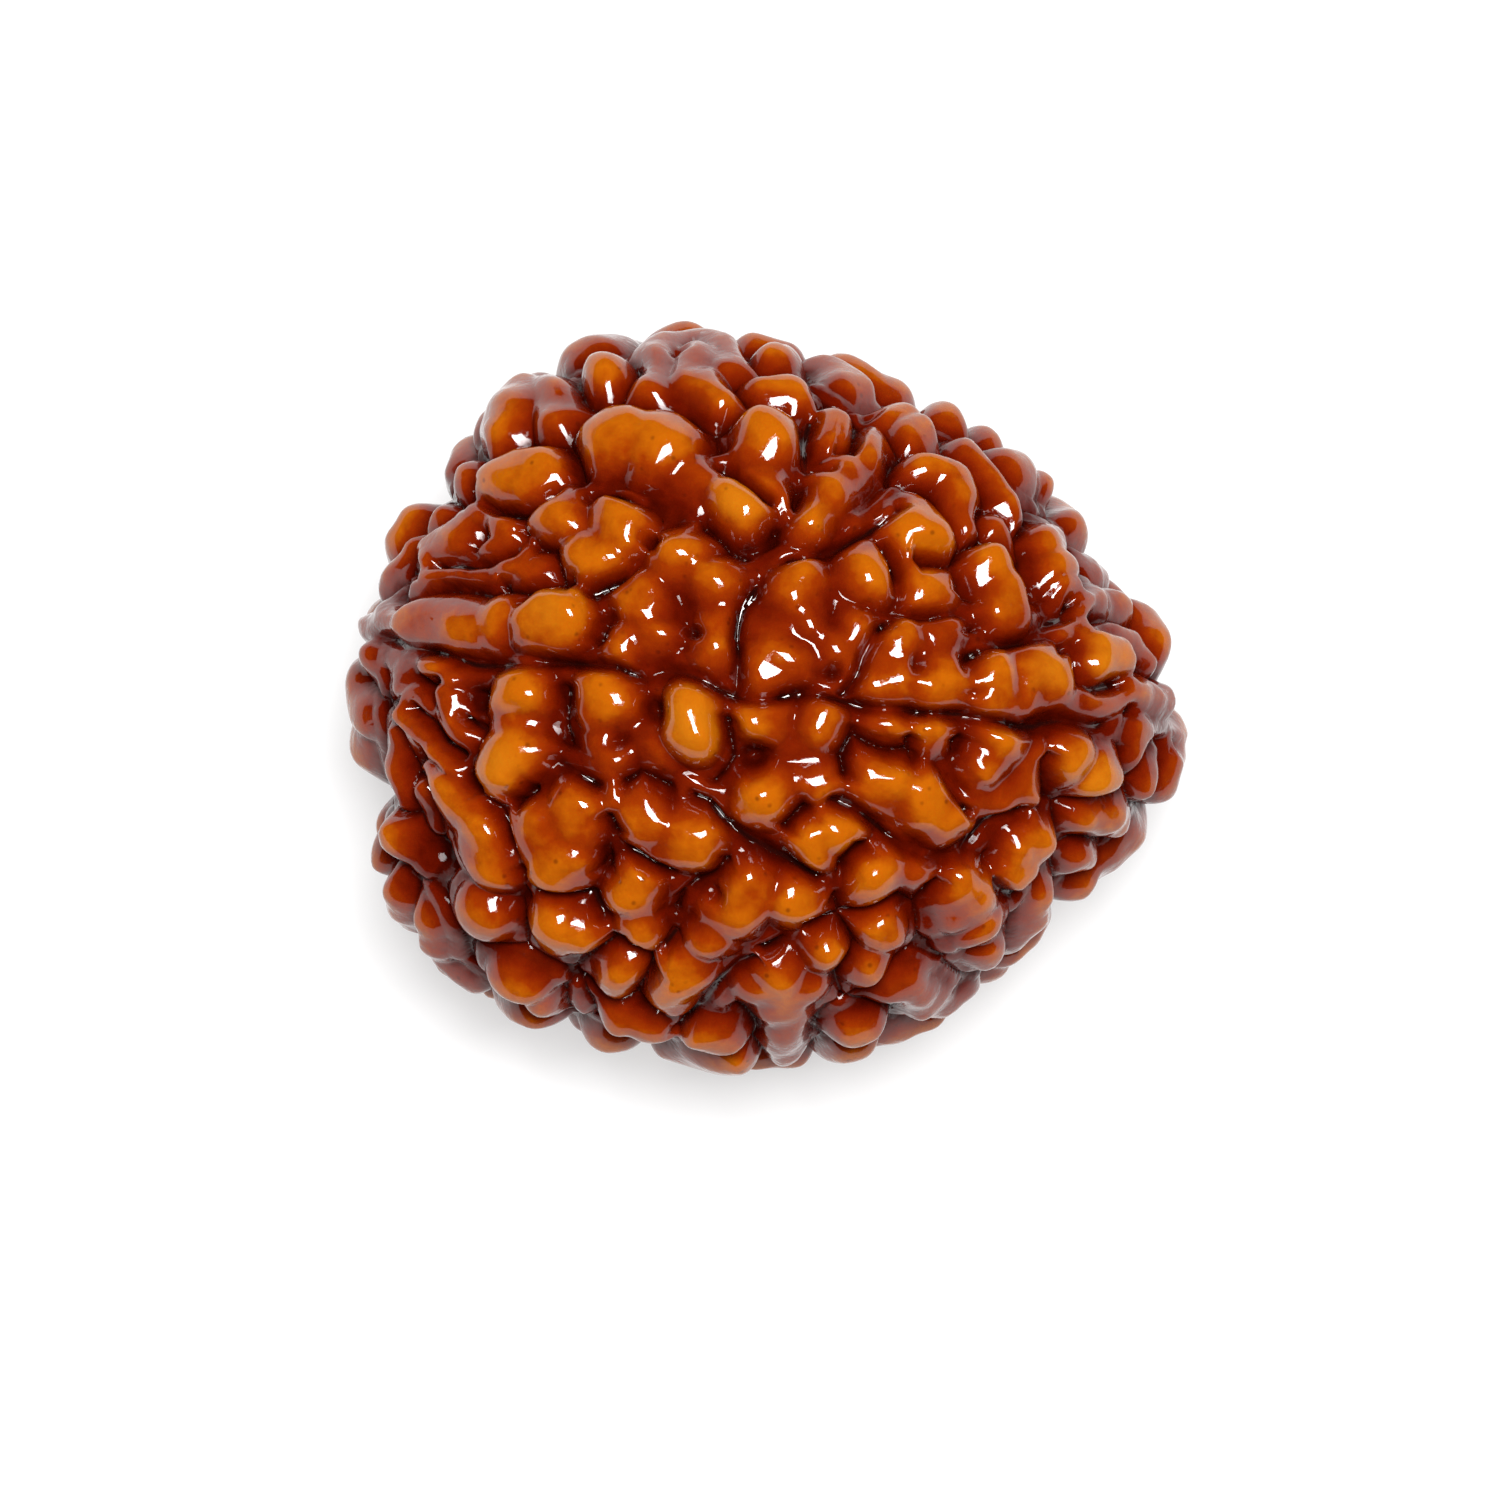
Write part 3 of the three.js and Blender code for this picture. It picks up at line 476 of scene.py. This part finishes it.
def add_hidden_lumps(lumps):
    """Adds knobs and short ridges that keep clear of each other on the side that the view doesn't reach.

    Some join a near neighbour as one lump.
    """
    draw = drawer(HIDDEN_SEED)
    taken, widths, owners = [], [], []

    def note(bar, owner):
        for p in (bar[0], (bar[0] + bar[1]) / 2, bar[1]):
            taken.append(p)
            widths.append(bar[2])
            owners.append(owner)

    lumps.append(bars(REST_WIDTH, REST_CROWN, under(REST_PLACE)))
    for lump in lumps:
        for bar in lump:
            note(bar, -1)
    for _ in range(HIDDEN_TRIES):
        p = body_point(drawn_direction(draw))
        width = HIDDEN_LEAST_WIDTH + HIDDEN_WIDTH_SPREAD * draw()
        reach = HIDDEN_LENGTH * draw() / 2
        course = np.radians(HIDDEN_TURN * (2 * draw() - 1))
        joins = draw() < JOIN_SHARE
        normal = body_normal(p)
        if normal @ BACK > HIDDEN_FACING:
            continue
        along = np.array([1.0, 0.0, 0.0]) - normal[0] * normal
        along = turned(along / np.linalg.norm(along), normal, course)
        a, b = to_body(p + along * reach), to_body(p - along * reach)
        others = np.array(taken)
        away = np.min([np.linalg.norm(others - q, axis=1) for q in (p, a, b)], 0)
        if (away <= (width + np.array(widths)) * HIDDEN_SPACING).any():
            continue
        gaps = np.where(np.array(owners) >= 0, away, np.inf)
        nearest = int(np.argmin(gaps))
        bar = (a, b, width, crown(width, 1))
        if joins and gaps[nearest] < JOIN_GAP:
            owner = owners[nearest]
            lumps[owner].append(bar)
        else:
            owner = len(lumps)
            lumps.append([bar])
        note(bar, owner)
    return lumps


def bar_distance(p, a, b):
    """Distance of each point from the straight bar between a and b."""
    along = b - a
    length = along @ along
    t = np.clip((p - a) @ along / length, 0, 1) if length > POINT_SIZE else np.zeros(len(p))
    return np.linalg.norm(p - a - t[:, None] * along, axis=1)


def rounded(a, b, blend=BLEND):
    """The greater of two heights, rounded where they are nearly equal."""
    t = np.clip(0.5 + 0.5 * (a - b) / blend, 0, 1)
    return b + (a - b) * t + blend * t * (1 - t)


def smooth_step(x, start, width):
    """0 before start and 1 past start plus width, with a level run at both ends."""
    t = np.clip((x - start) / width, 0, 1)
    return t * t * (3 - 2 * t)


def golden(p):
    """Share of the paler, golden colour: 1 near the places of the golden knobs, fading over their reach."""
    share = np.zeros(len(p))
    for u, v, reach in GOLDEN:
        away = np.linalg.norm(p - seen([u, v])[0], axis=1)
        share = np.maximum(share, 1 - smooth_step(away, 0, reach))
    return share


def close_to(p, points, reach):
    """Numbers of the points of p within a reach of the ball that holds some points."""
    centre = np.mean(points, 0)
    radius = np.linalg.norm(points - centre, axis=1).max() + reach
    return np.flatnonzero(((p - centre) ** 2).sum(1) < radius**2)


def relief(p, lumps, lines, pits):
    """(height, distance from the furrow, distance from a deep furrow) over each body point.

    Height is a floor, plus the plateau and domes times a quarter-circle wall that grows with the
    distance from the furrow. A furrow lies where two lumps are equally near.
    """
    draw = drawer(WAVE_SEED)
    shift = waved(p, drawn_waves(draw, WARP_LENGTH, WARP))
    swell = waved(p, drawn_waves(draw, SWELL_LENGTH, SWELL))[:, 2]
    p = p + shift
    first = np.full(len(p), FAR)
    second = np.full(len(p), FAR)
    dome = np.zeros(len(p))
    for lump in lumps:
        ends = np.array([end for bar in lump for end in bar[:2]])
        near = close_to(p, ends, LUMP_SAY)
        q = p[near]
        nearest = np.full(len(q), FAR)
        high = dome[near]
        for a, b, width, rise in lump:
            distance = bar_distance(q, a, b)
            nearest = np.minimum(nearest, distance - width)
            share = np.clip(1 - (distance / (width + CROWN_REACH)) ** 2, 0, 1)
            high = rounded(high, rise * share**DOME_POWER)
        dome[near] = high
        closer = nearest < first[near]
        second[near] = np.where(closer, first[near], np.minimum(second[near], nearest))
        first[near] = np.where(closer, nearest, first[near])
    line = np.full(len(p), FAR)
    for points in lines:
        near = close_to(p, points, LINE_SAY)
        for a, b in zip(points[:-1], points[1:]):
            line[near] = np.minimum(line[near], bar_distance(p[near], a, b))
    plain = np.minimum((second - first) / 2, REACH - first)
    steep = line * LINE_STEEP
    edge = np.maximum(steep + (plain - steep) * smooth_step(line, LINE_NEAR, LINE_FADE), 0)
    wall = np.sqrt(1 - (1 - np.clip(edge / WALL, 0, 1)) ** 2)
    floor = FURROW_FLOOR * (1 - np.exp(-((line / FLOOR_SPREAD) ** 2)))
    height = floor + (PLATEAU + dome + swell - floor) * wall
    for centre, radius, depth in pits:
        height = height - depth * np.exp(-((p - centre) ** 2).sum(1) / radius**2)
    return height, edge, line


def oiled(p, height, line):
    """Height with oil in the deep furrows: an uneven level that fades sideways fills the relief."""
    uneven = waved(p, drawn_waves(drawer(OIL_SEED), OIL_WAVE_LENGTH, OIL_UNEVEN))[:, 2]
    return rounded(height, (OIL_LEVEL + uneven) * np.exp(-((line / OIL_REACH) ** 2)), OIL_BLEND)


def cube_grid(cells):
    """Unit directions and quads of a cube whose faces are pushed out to the unit sphere."""
    across = np.tan(np.linspace(-1, 1, cells + 1) * np.pi / 4)
    sides = []
    for axis in range(3):
        for side in (1, -1):
            points = np.zeros((cells + 1, cells + 1, 3))
            a, b = np.meshgrid(across, across, indexing="ij")
            points[..., axis] = side
            points[..., (axis + 1) % 3] = a * side
            points[..., (axis + 2) % 3] = b
            sides.append(points.reshape(-1, 3))
    points = np.concatenate(sides)
    points /= np.linalg.norm(points, axis=1, keepdims=True)
    keys = np.round(points * SEAM_KEYS).astype(np.int64)
    _, first, back = np.unique(keys, axis=0, return_index=True, return_inverse=True)
    back = back.ravel()
    corner = np.arange(cells * (cells + 1)).reshape(cells, cells + 1)[:, :cells].ravel()
    quad = np.stack([corner, corner + cells + 1, corner + cells + 2, corner + 1], 1)
    quads = np.concatenate([back[quad + k * (cells + 1) ** 2] for k in range(6)])
    return points[first], quads


def set_down(p):
    """Points about the body's middle, moved to the frame and cut flat at the rest spot, in metres."""
    q = p + MIDDLE
    q[:, 2] = np.maximum(q[:, 2], 0)
    return q * MM


def body_under(p):
    """The body point whose normal passes through each relief point, found in a few steps."""
    q = to_body(p)
    for _ in range(FOOT_ROUNDS):
        normal = body_normal(q)
        q = to_body(p - normal * ((p - q) * normal).sum(1)[:, None])
    return q


def new_mesh(name, points, faces):
    """A mesh from whole arrays of points and of faces with equal counts of corners."""
    mesh = bpy.data.meshes.new(name)
    corners = faces.shape[1]
    mesh.vertices.add(len(points))
    mesh.vertices.foreach_set("co", points.astype(np.float32).ravel())
    mesh.loops.add(faces.size)
    mesh.loops.foreach_set("vertex_index", faces.astype(np.int32).ravel())
    mesh.polygons.add(len(faces))
    mesh.polygons.foreach_set("loop_start", np.arange(0, faces.size, corners, dtype=np.int32))
    mesh.update(calc_edges=True)
    mesh.validate()
    return mesh


def vectors_of(mesh, name):
    """A place or normal for each vertex, as rows of an array."""
    values = np.empty(len(mesh.vertices) * 3, np.float32)
    mesh.vertices.foreach_get(name, values)
    return values.reshape(-1, 3).astype(float)


def add_value(mesh, name, values):
    """Keeps one number for each vertex as an attribute that a material reads."""
    mesh.attributes.new(name, "FLOAT", "POINT").data.foreach_set("value", values.astype(np.float32))


def spread_out(values, mesh, rounds):
    """Each vertex's value replaced, again and again, by the mean of its neighbours' values."""
    ends = np.empty(len(mesh.edges) * 2, np.int32)
    mesh.edges.foreach_get("vertices", ends)
    start, end = ends[0::2], ends[1::2]
    here, there = np.concatenate([start, end]), np.concatenate([end, start])
    count = np.maximum(np.bincount(here, minlength=len(values)), 1)
    for _ in range(rounds):
        values = np.bincount(here, weights=values[there], minlength=len(values)) / count
    return values


def make_stone_mesh():
    """The relief on a fine cube grid, thinned to the triangle limit, with its heights kept."""
    lumps = add_hidden_lumps(seen_lumps())
    lines = [seen(line) for line in LINES] + [under(HIDDEN_MOUTH)]
    pits = [(seen(row[:2])[0], row[2], row[3]) for row in PITS]
    directions, quads = cube_grid(CELLS)
    body = body_point(directions)
    height, _, line = relief(body, lumps, lines, pits)
    height = oiled(body, height, line)
    fine = new_mesh("stone_fine", set_down(body + body_normal(body) * height[:, None]), quads)
    holder = bpy.data.objects.new("stone_fine", fine)
    bpy.context.collection.objects.link(holder)
    thin = holder.modifiers.new("thin", "DECIMATE")
    thin.ratio = min(1.0, STONE_TRIANGLES / (2 * len(quads)))
    mesh = bpy.data.meshes.new_from_object(holder.evaluated_get(bpy.context.evaluated_depsgraph_get()))
    bpy.data.objects.remove(holder)
    bpy.data.meshes.remove(fine)
    mesh.name = "stone"
    body = body_under(vectors_of(mesh, "co") / MM - MIDDLE)
    height, edge, line = relief(body, lumps, lines, pits)
    add_value(mesh, "gold", golden(body))
    add_value(mesh, "facing", np.abs(vectors_of(mesh, "normal")[:, 2]))
    add_value(mesh, "rise", height)
    # How proud each point is of its neighbours: low in the hollows, where it darkens the colour, partly as
    # painted shade.
    add_value(mesh, "knob", height - spread_out(height, mesh, KNOB_ROUNDS))
    add_value(mesh, "edge", edge)
    add_value(mesh, "line", line)
    mesh.polygons.foreach_set("use_smooth", np.ones(len(mesh.polygons), bool))
    return mesh


def link(tree, start, end):
    """Joins two sockets."""
    tree.links.new(start, end)


def node(tree, kind, values=None, **settings):
    """A node of a kind, with settings and with values for its named inputs."""
    made = tree.nodes.new(kind)
    for key, value in settings.items():
        setattr(made, key, value)
    for key, value in (values or {}).items():
        made.inputs[key].default_value = value
    return made


def arithmetic(tree, operation, a, b):
    """A Math node over two sockets or numbers; returns its output."""
    made = node(tree, "ShaderNodeMath", operation=operation)
    for socket, value in zip(made.inputs, (a, b)):
        if isinstance(value, bpy.types.NodeSocket):
            link(tree, value, socket)
        else:
            socket.default_value = value
    return made.outputs[0]


def ranged(tree, value, reads, gives=(0.0, 1.0)):
    """A value's range spread over another range, with smooth ends."""
    made = node(tree, "ShaderNodeMapRange", interpolation_type="SMOOTHSTEP")
    made.inputs["From Min"].default_value, made.inputs["From Max"].default_value = reads
    made.inputs["To Min"].default_value, made.inputs["To Max"].default_value = gives
    link(tree, value, made.inputs["Value"])
    return made.outputs["Result"]


def ramp(tree, value, stops):
    """A colour ramp through (place, colour) stops."""
    made = node(tree, "ShaderNodeValToRGB")
    elements = made.color_ramp.elements
    while len(elements) < len(stops):
        elements.new(1.0)
    for element, (place, colour) in zip(elements, stops):
        element.position = place
        element.color = (*colour, 1.0)
    link(tree, value, made.inputs["Fac"])
    return made.outputs["Color"]


def tinted(tree, colour, mask, share, tint):
    """A colour with a share of a plain tint wherever a mask is 1."""
    made = node(tree, "ShaderNodeMix", data_type="RGBA")
    factor, under_colour, over_colour = (made.inputs[k] for k in (0, 6, 7))
    link(tree, arithmetic(tree, "MULTIPLY", mask, share), factor)
    link(tree, colour, under_colour)
    over_colour.default_value = (*tint, 1.0)
    return made.outputs[2]


def attribute(tree, name):
    """The number that a mesh attribute keeps at each point."""
    return node(tree, "ShaderNodeAttribute", attribute_name=name).outputs["Fac"]


def noise(tree, place, per_mm, detail, roughness):
    """Even noise with so many grains to a millimetre."""
    values = {"Scale": per_mm / MM, "Detail": detail, "Roughness": roughness}
    made = node(tree, "ShaderNodeTexNoise", values)
    link(tree, place, made.inputs["Vector"])
    return made.outputs["Fac"]


def new_group(name, inputs, outputs):
    """A shader node group with named inputs and outputs; returns (group, input node, output node)."""
    group = bpy.data.node_groups.new(name, "ShaderNodeTree")
    for label, kind in inputs:
        group.interface.new_socket(name=label, in_out="INPUT", socket_type=kind)
    for label, kind in outputs:
        group.interface.new_socket(name=label, in_out="OUTPUT", socket_type=kind)
    return group, group.nodes.new("NodeGroupInput"), group.nodes.new("NodeGroupOutput")


def make_skin_group():
    """Uneven skin of the wood: broad patches, fine grains and small dark specks."""
    group, start, end = new_group(
        "wood skin", [("Place", "NodeSocketVector")],
        [("Patch", "NodeSocketFloat"), ("Grain", "NodeSocketFloat"), ("Speck", "NodeSocketFloat")],
    )
    place = start.outputs["Place"]
    link(group, noise(group, place, *PATCHES), end.inputs["Patch"])
    link(group, noise(group, place, *GRAINS), end.inputs["Grain"])
    cells = node(group, "ShaderNodeTexVoronoi", {"Scale": SPECKS_PER_MM / MM, "Randomness": 1.0})
    link(group, place, cells.inputs["Vector"])
    spot = ranged(group, cells.outputs["Distance"], SPECK_SIZE, (1.0, 0.0))
    where = ranged(group, noise(group, place, *SPECK_PLACES), SPECK_PLACES_RANGE)
    link(group, arithmetic(group, "MULTIPLY", spot, where), end.inputs["Speck"])
    return group


def wood_level(tree, skin):
    """How high the wood stands, from its height and from how proud it is of what is round it.

    Patches and grains of the skin make it uneven. The level's low end, down the walls and in the hollows,
    carries painted shade as well as the wood's own darker tone.
    """
    high = arithmetic(tree, "MULTIPLY", ranged(tree, attribute(tree, "rise"), RISE_RANGE), RISE_SHARE)
    proud = arithmetic(tree, "MULTIPLY", ranged(tree, attribute(tree, "knob"), KNOB_RANGE), KNOB_SHARE)
    level = arithmetic(tree, "ADD", high, proud)
    for name, share in (("Patch", PATCH_SHARE), ("Grain", GRAIN_SHARE)):
        uneven = arithmetic(tree, "SUBTRACT", skin.outputs[name], 0.5)
        level = arithmetic(tree, "ADD", level, arithmetic(tree, "MULTIPLY", uneven, share))
    return level


def make_wood(settings):
    """Oiled wood: orange on the knobs, deep red-brown down the walls, nearly black in the furrows; the
    nearly black furrows are painted shade, the darker walls partly so.
    """
    material = bpy.data.materials.new("oiled_wood")
    material.use_nodes = True
    tree = material.node_tree
    tree.nodes.clear()
    end = node(tree, "ShaderNodeOutputMaterial")
    shader = node(tree, "ShaderNodeBsdfPrincipled")
    link(tree, shader.outputs["BSDF"], end.inputs["Surface"])
    skin = node(tree, "ShaderNodeGroup", node_tree=make_skin_group())
    link(tree, node(tree, "ShaderNodeTexCoord").outputs["Object"], skin.inputs["Place"])
    level = wood_level(tree, skin)
    # Darker down the walls and in the hollows: partly the wood's own tone, partly painted shade.
    colour = ramp(tree, level, [*TONES_AND_PAINTED_SHADE, (1.0, tuple(settings.crown_colour))])
    crowns = ranged(tree, level, GOLD_RANGE)
    golden_crowns = arithmetic(tree, "MULTIPLY", attribute(tree, "gold"), crowns)
    colour = tinted(tree, colour, golden_crowns, GOLD_SHARE, settings.golden_colour)
    # Painted shade at the foot of the walls, where the furrows are.
    furrow = ranged(tree, attribute(tree, "edge"), FURROW_SHADE_RANGE, (1.0, 0.0))
    colour = tinted(tree, colour, furrow, FURROW_SHADE_SHARE, settings.furrow_shade_colour)
    line = attribute(tree, "line")
    # Painted shade along the deep furrow lines, in the furrow colour.
    deep = ranged(tree, line, DEEP_SHADE_RANGE, (1.0, 0.0))
    colour = tinted(tree, colour, deep, DEEP_SHADE_SHARE, settings.furrow_shade_colour)
    colour = tinted(tree, colour, skin.outputs["Speck"], SPECK_SHARE, SPECK_COLOUR)
    link(tree, colour, shader.inputs["Base Color"])
    bump = node(tree, "ShaderNodeBump", {"Strength": 1.0, "Distance": settings.skin_depth})
    link(tree, skin.outputs["Grain"], bump.inputs["Height"])
    link(tree, bump.outputs["Normal"], shader.inputs["Normal"])
    shader.inputs["Roughness"].default_value = settings.roughness
    shader.inputs["Specular IOR Level"].default_value = 0.05
    film = ranged(tree, level, FILM_RANGE, FILM_WEIGHT)
    oil = arithmetic(tree, "MAXIMUM", film, ranged(tree, line, POOL_RANGE, (1.0, 0.0)))
    thinned = ranged(tree, attribute(tree, "facing"), FACING_RANGE, FACING_WEIGHT)
    oil = arithmetic(tree, "MULTIPLY", oil, thinned)
    link(tree, oil, shader.inputs["Coat Weight"])
    shader.inputs["Coat Roughness"].default_value = settings.oil_roughness
    shader.inputs["Coat IOR"].default_value = 1.5
    shader.inputs["Subsurface Weight"].default_value = 0.12
    shader.inputs["Subsurface Radius"].default_value = (1.0, 0.3, 0.1)
    shader.inputs["Subsurface Scale"].default_value = 0.6 * MM
    return material


def make_floor(settings):
    """A matt pale floor, lit a little from below as a light table is."""
    material = bpy.data.materials.new("pale_floor")
    material.use_nodes = True
    shader = material.node_tree.nodes["Principled BSDF"]
    shader.inputs["Base Color"].default_value = (*settings.floor_colour, 1.0)
    shader.inputs["Roughness"].default_value = 0.8
    shader.inputs["Specular IOR Level"].default_value = 0.0
    shader.inputs["Emission Color"].default_value = (1.0, 1.0, 1.0, 1.0)
    shader.inputs["Emission Strength"].default_value = settings.floor_glow
    return material


class SeedStoneSettings(bpy.types.PropertyGroup):
    """Colours and finish of the stone."""

    crown_colour: bpy.props.FloatVectorProperty(
        name="Knob colour", description="Colour of the highest knobs", subtype="COLOR", size=3,
        min=0.0, max=1.0, default=(0.33, 0.074, 0.0008),
    )
    golden_colour: bpy.props.FloatVectorProperty(
        name="Golden colour", description="Colour of the paler knobs near the tip", subtype="COLOR", size=3,
        min=0.0, max=1.0, default=(0.38, 0.115, 0.003),
    )
    # Painted shade at the bottom of the furrows.
    furrow_shade_colour: bpy.props.FloatVectorProperty(
        name="Furrow colour", description="Colour at the bottom of the furrows", subtype="COLOR", size=3,
        min=0.0, max=1.0, default=(0.003, 0.0005, 0.0003),
    )
    roughness: bpy.props.FloatProperty(
        name="Wood roughness", description="Roughness of the wood under the oil", subtype="FACTOR",
        min=0.0, max=1.0, default=0.08,
    )
    oil_roughness: bpy.props.FloatProperty(
        name="Oil roughness", description="Roughness of the film of oil", subtype="FACTOR",
        min=0.0, max=1.0, default=0.05,
    )
    skin_depth: bpy.props.FloatProperty(
        name="Skin depth", description="Height of the fine grains", subtype="DISTANCE", unit="LENGTH",
        min=0.0, max=0.001, precision=6, default=0.00005,
    )


class SeedStageSettings(bpy.types.PropertyGroup):
    """Floor, lamp and surround."""

    floor_colour: bpy.props.FloatVectorProperty(
        name="Floor colour", description="Colour of the floor", subtype="COLOR", size=3,
        min=0.0, max=1.0, default=(0.32, 0.32, 0.32),
    )
    light_power: bpy.props.FloatProperty(
        name="Light power", description="Power of the lamp", subtype="POWER", unit="POWER",
        min=0.0, default=5.8,
    )
    light_size: bpy.props.FloatProperty(
        name="Light size", description="Side of the square lamp", subtype="DISTANCE", unit="LENGTH",
        min=0.01, default=0.2,
    )
    floor_glow: bpy.props.FloatProperty(
        name="Floor glow", description="Light that the floor gives off of its own", subtype="FACTOR",
        min=0.0, max=1.0, default=0.6,
    )
    surround: bpy.props.FloatProperty(
        name="Surround", description="Brightness of the white room", subtype="FACTOR",
        min=0.0, max=10.0, default=0.03,
    )


class SEED_OT_stone(bpy.types.Operator):
    """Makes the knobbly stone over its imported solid"""

    bl_idname = "seed.stone"
    bl_label = "Make stone"

    def execute(self, context):
        """Builds the mesh and its finish, and puts it in the seed solid's place."""
        stone = bpy.data.objects.new("stone", make_stone_mesh())
        context.collection.objects.link(stone)
        stone.data.materials.clear()
        stone.data.materials.append(make_wood(context.scene.seed_stone))
        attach(stone, "root")
        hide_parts("seed")
        return {"FINISHED"}


class SEED_OT_stage(bpy.types.Operator):
    """Makes the floor, the lamp, the white room and the camera"""

    bl_idname = "seed.stage"
    bl_label = "Make stage"

    def execute(self, context):
        """Builds each thing of the stage about the seed's middle."""
        settings = context.scene.seed_stage
        corners = np.array([(-1, -1, 0), (1, -1, 0), (1, 1, 0), (-1, 1, 0)]) * FLOOR_HALF
        floor = bpy.data.objects.new("floor", new_mesh("floor", corners, np.array([[0, 1, 2, 3]])))
        context.collection.objects.link(floor)
        floor.data.materials.append(make_floor(settings))
        middle = MIDDLE * MM
        self.lamp(context, middle, settings)
        self.room(context, settings.surround)
        self.camera(context, middle)
        return {"FINISHED"}

    @staticmethod
    def lamp(context, target, settings):
        """A square lamp overhead, a little behind the seed and to its right, that faces it."""
        right, up, back = LAMP_PLACE
        away = RIGHT * right + UP * up + BACK * back
        light = bpy.data.lights.new("soft_lamp", "AREA")
        light.size = settings.light_size
        light.energy = settings.light_power
        lamp = bpy.data.objects.new("soft_lamp", light)
        lamp.location = target + away
        lamp.rotation_euler = facing(away)
        context.collection.objects.link(lamp)

    @staticmethod
    def room(context, brightness):
        """An even white surround."""
        world = bpy.data.worlds.new("white_room")
        world.use_nodes = True
        background = world.node_tree.nodes["Background"]
        background.inputs["Color"].default_value = (1.0, 1.0, 1.0, 1.0)
        background.inputs["Strength"].default_value = brightness
        context.scene.world = world
        context.scene.view_settings.view_transform = "Standard"

    @staticmethod
    def camera(context, middle):
        """A long lens from nearly overhead, at the photograph's scale and place in the frame."""
        lens = bpy.data.cameras.new("camera")
        lens.sensor_width = SENSOR
        lens.lens = SENSOR * CAMERA_DISTANCE / (FRAME_PIXELS / PIXELS_PER_MM * MM)
        lens.clip_start = 0.05
        right = (FRAME_PIXELS / 2 - SEED_PIXEL[0]) / PIXELS_PER_MM * MM
        up = (SEED_PIXEL[1] - FRAME_PIXELS / 2) / PIXELS_PER_MM * MM
        camera = bpy.data.objects.new("camera", lens)
        camera.matrix_world = placed(middle + RIGHT * right + UP * up + BACK * CAMERA_DISTANCE)
        context.collection.objects.link(camera)
        context.scene.camera = camera


def placed(place):
    """A matrix at a place, with the view's right, up and back as its axes."""
    columns = np.eye(4)
    columns[:3, 0] = RIGHT
    columns[:3, 1] = UP
    columns[:3, 2] = BACK
    columns[:3, 3] = place
    return Matrix(columns.tolist())


def facing(away):
    """Euler angles that turn a lamp's beam against the direction away."""
    x, y, z = away
    return (float(np.arctan2(np.hypot(x, y), z)), 0.0, float(np.arctan2(y, x) + np.pi / 2))


class SEED_PT_panel(bpy.types.Panel):
    """Settings and buttons of the seed and its stage"""

    bl_idname = "SEED_PT_panel"
    bl_label = "Rudraksha seed"
    bl_space_type = "VIEW_3D"
    bl_region_type = "UI"
    bl_category = "Seed"

    def draw(self, context):
        """Lists every setting and button."""
        for group in (context.scene.seed_stone, context.scene.seed_stage):
            box = self.layout.box()
            for name in group.bl_rna.properties.keys():
                if name not in ("rna_type", "name"):
                    box.prop(group, name)
        for operator in (SEED_OT_stone, SEED_OT_stage):
            self.layout.operator(operator.bl_idname)


CLASSES = (SeedStoneSettings, SeedStageSettings, SEED_OT_stone, SEED_OT_stage, SEED_PT_panel)


def register():
    """Adds the classes, and the settings to the scene."""
    for kind in CLASSES:
        bpy.utils.register_class(kind)
    bpy.types.Scene.seed_stone = bpy.props.PointerProperty(type=SeedStoneSettings)
    bpy.types.Scene.seed_stage = bpy.props.PointerProperty(type=SeedStageSettings)


def unregister():
    """Takes the settings and the classes away."""
    del bpy.types.Scene.seed_stage
    del bpy.types.Scene.seed_stone
    for kind in reversed(CLASSES):
        bpy.utils.unregister_class(kind)


def main():
    """Makes the stone and the stage."""
    register()
    bpy.ops.seed.stone()
    bpy.ops.seed.stage()
    bpy.context.view_layer.update()


if __name__ == "__main__":
    main()
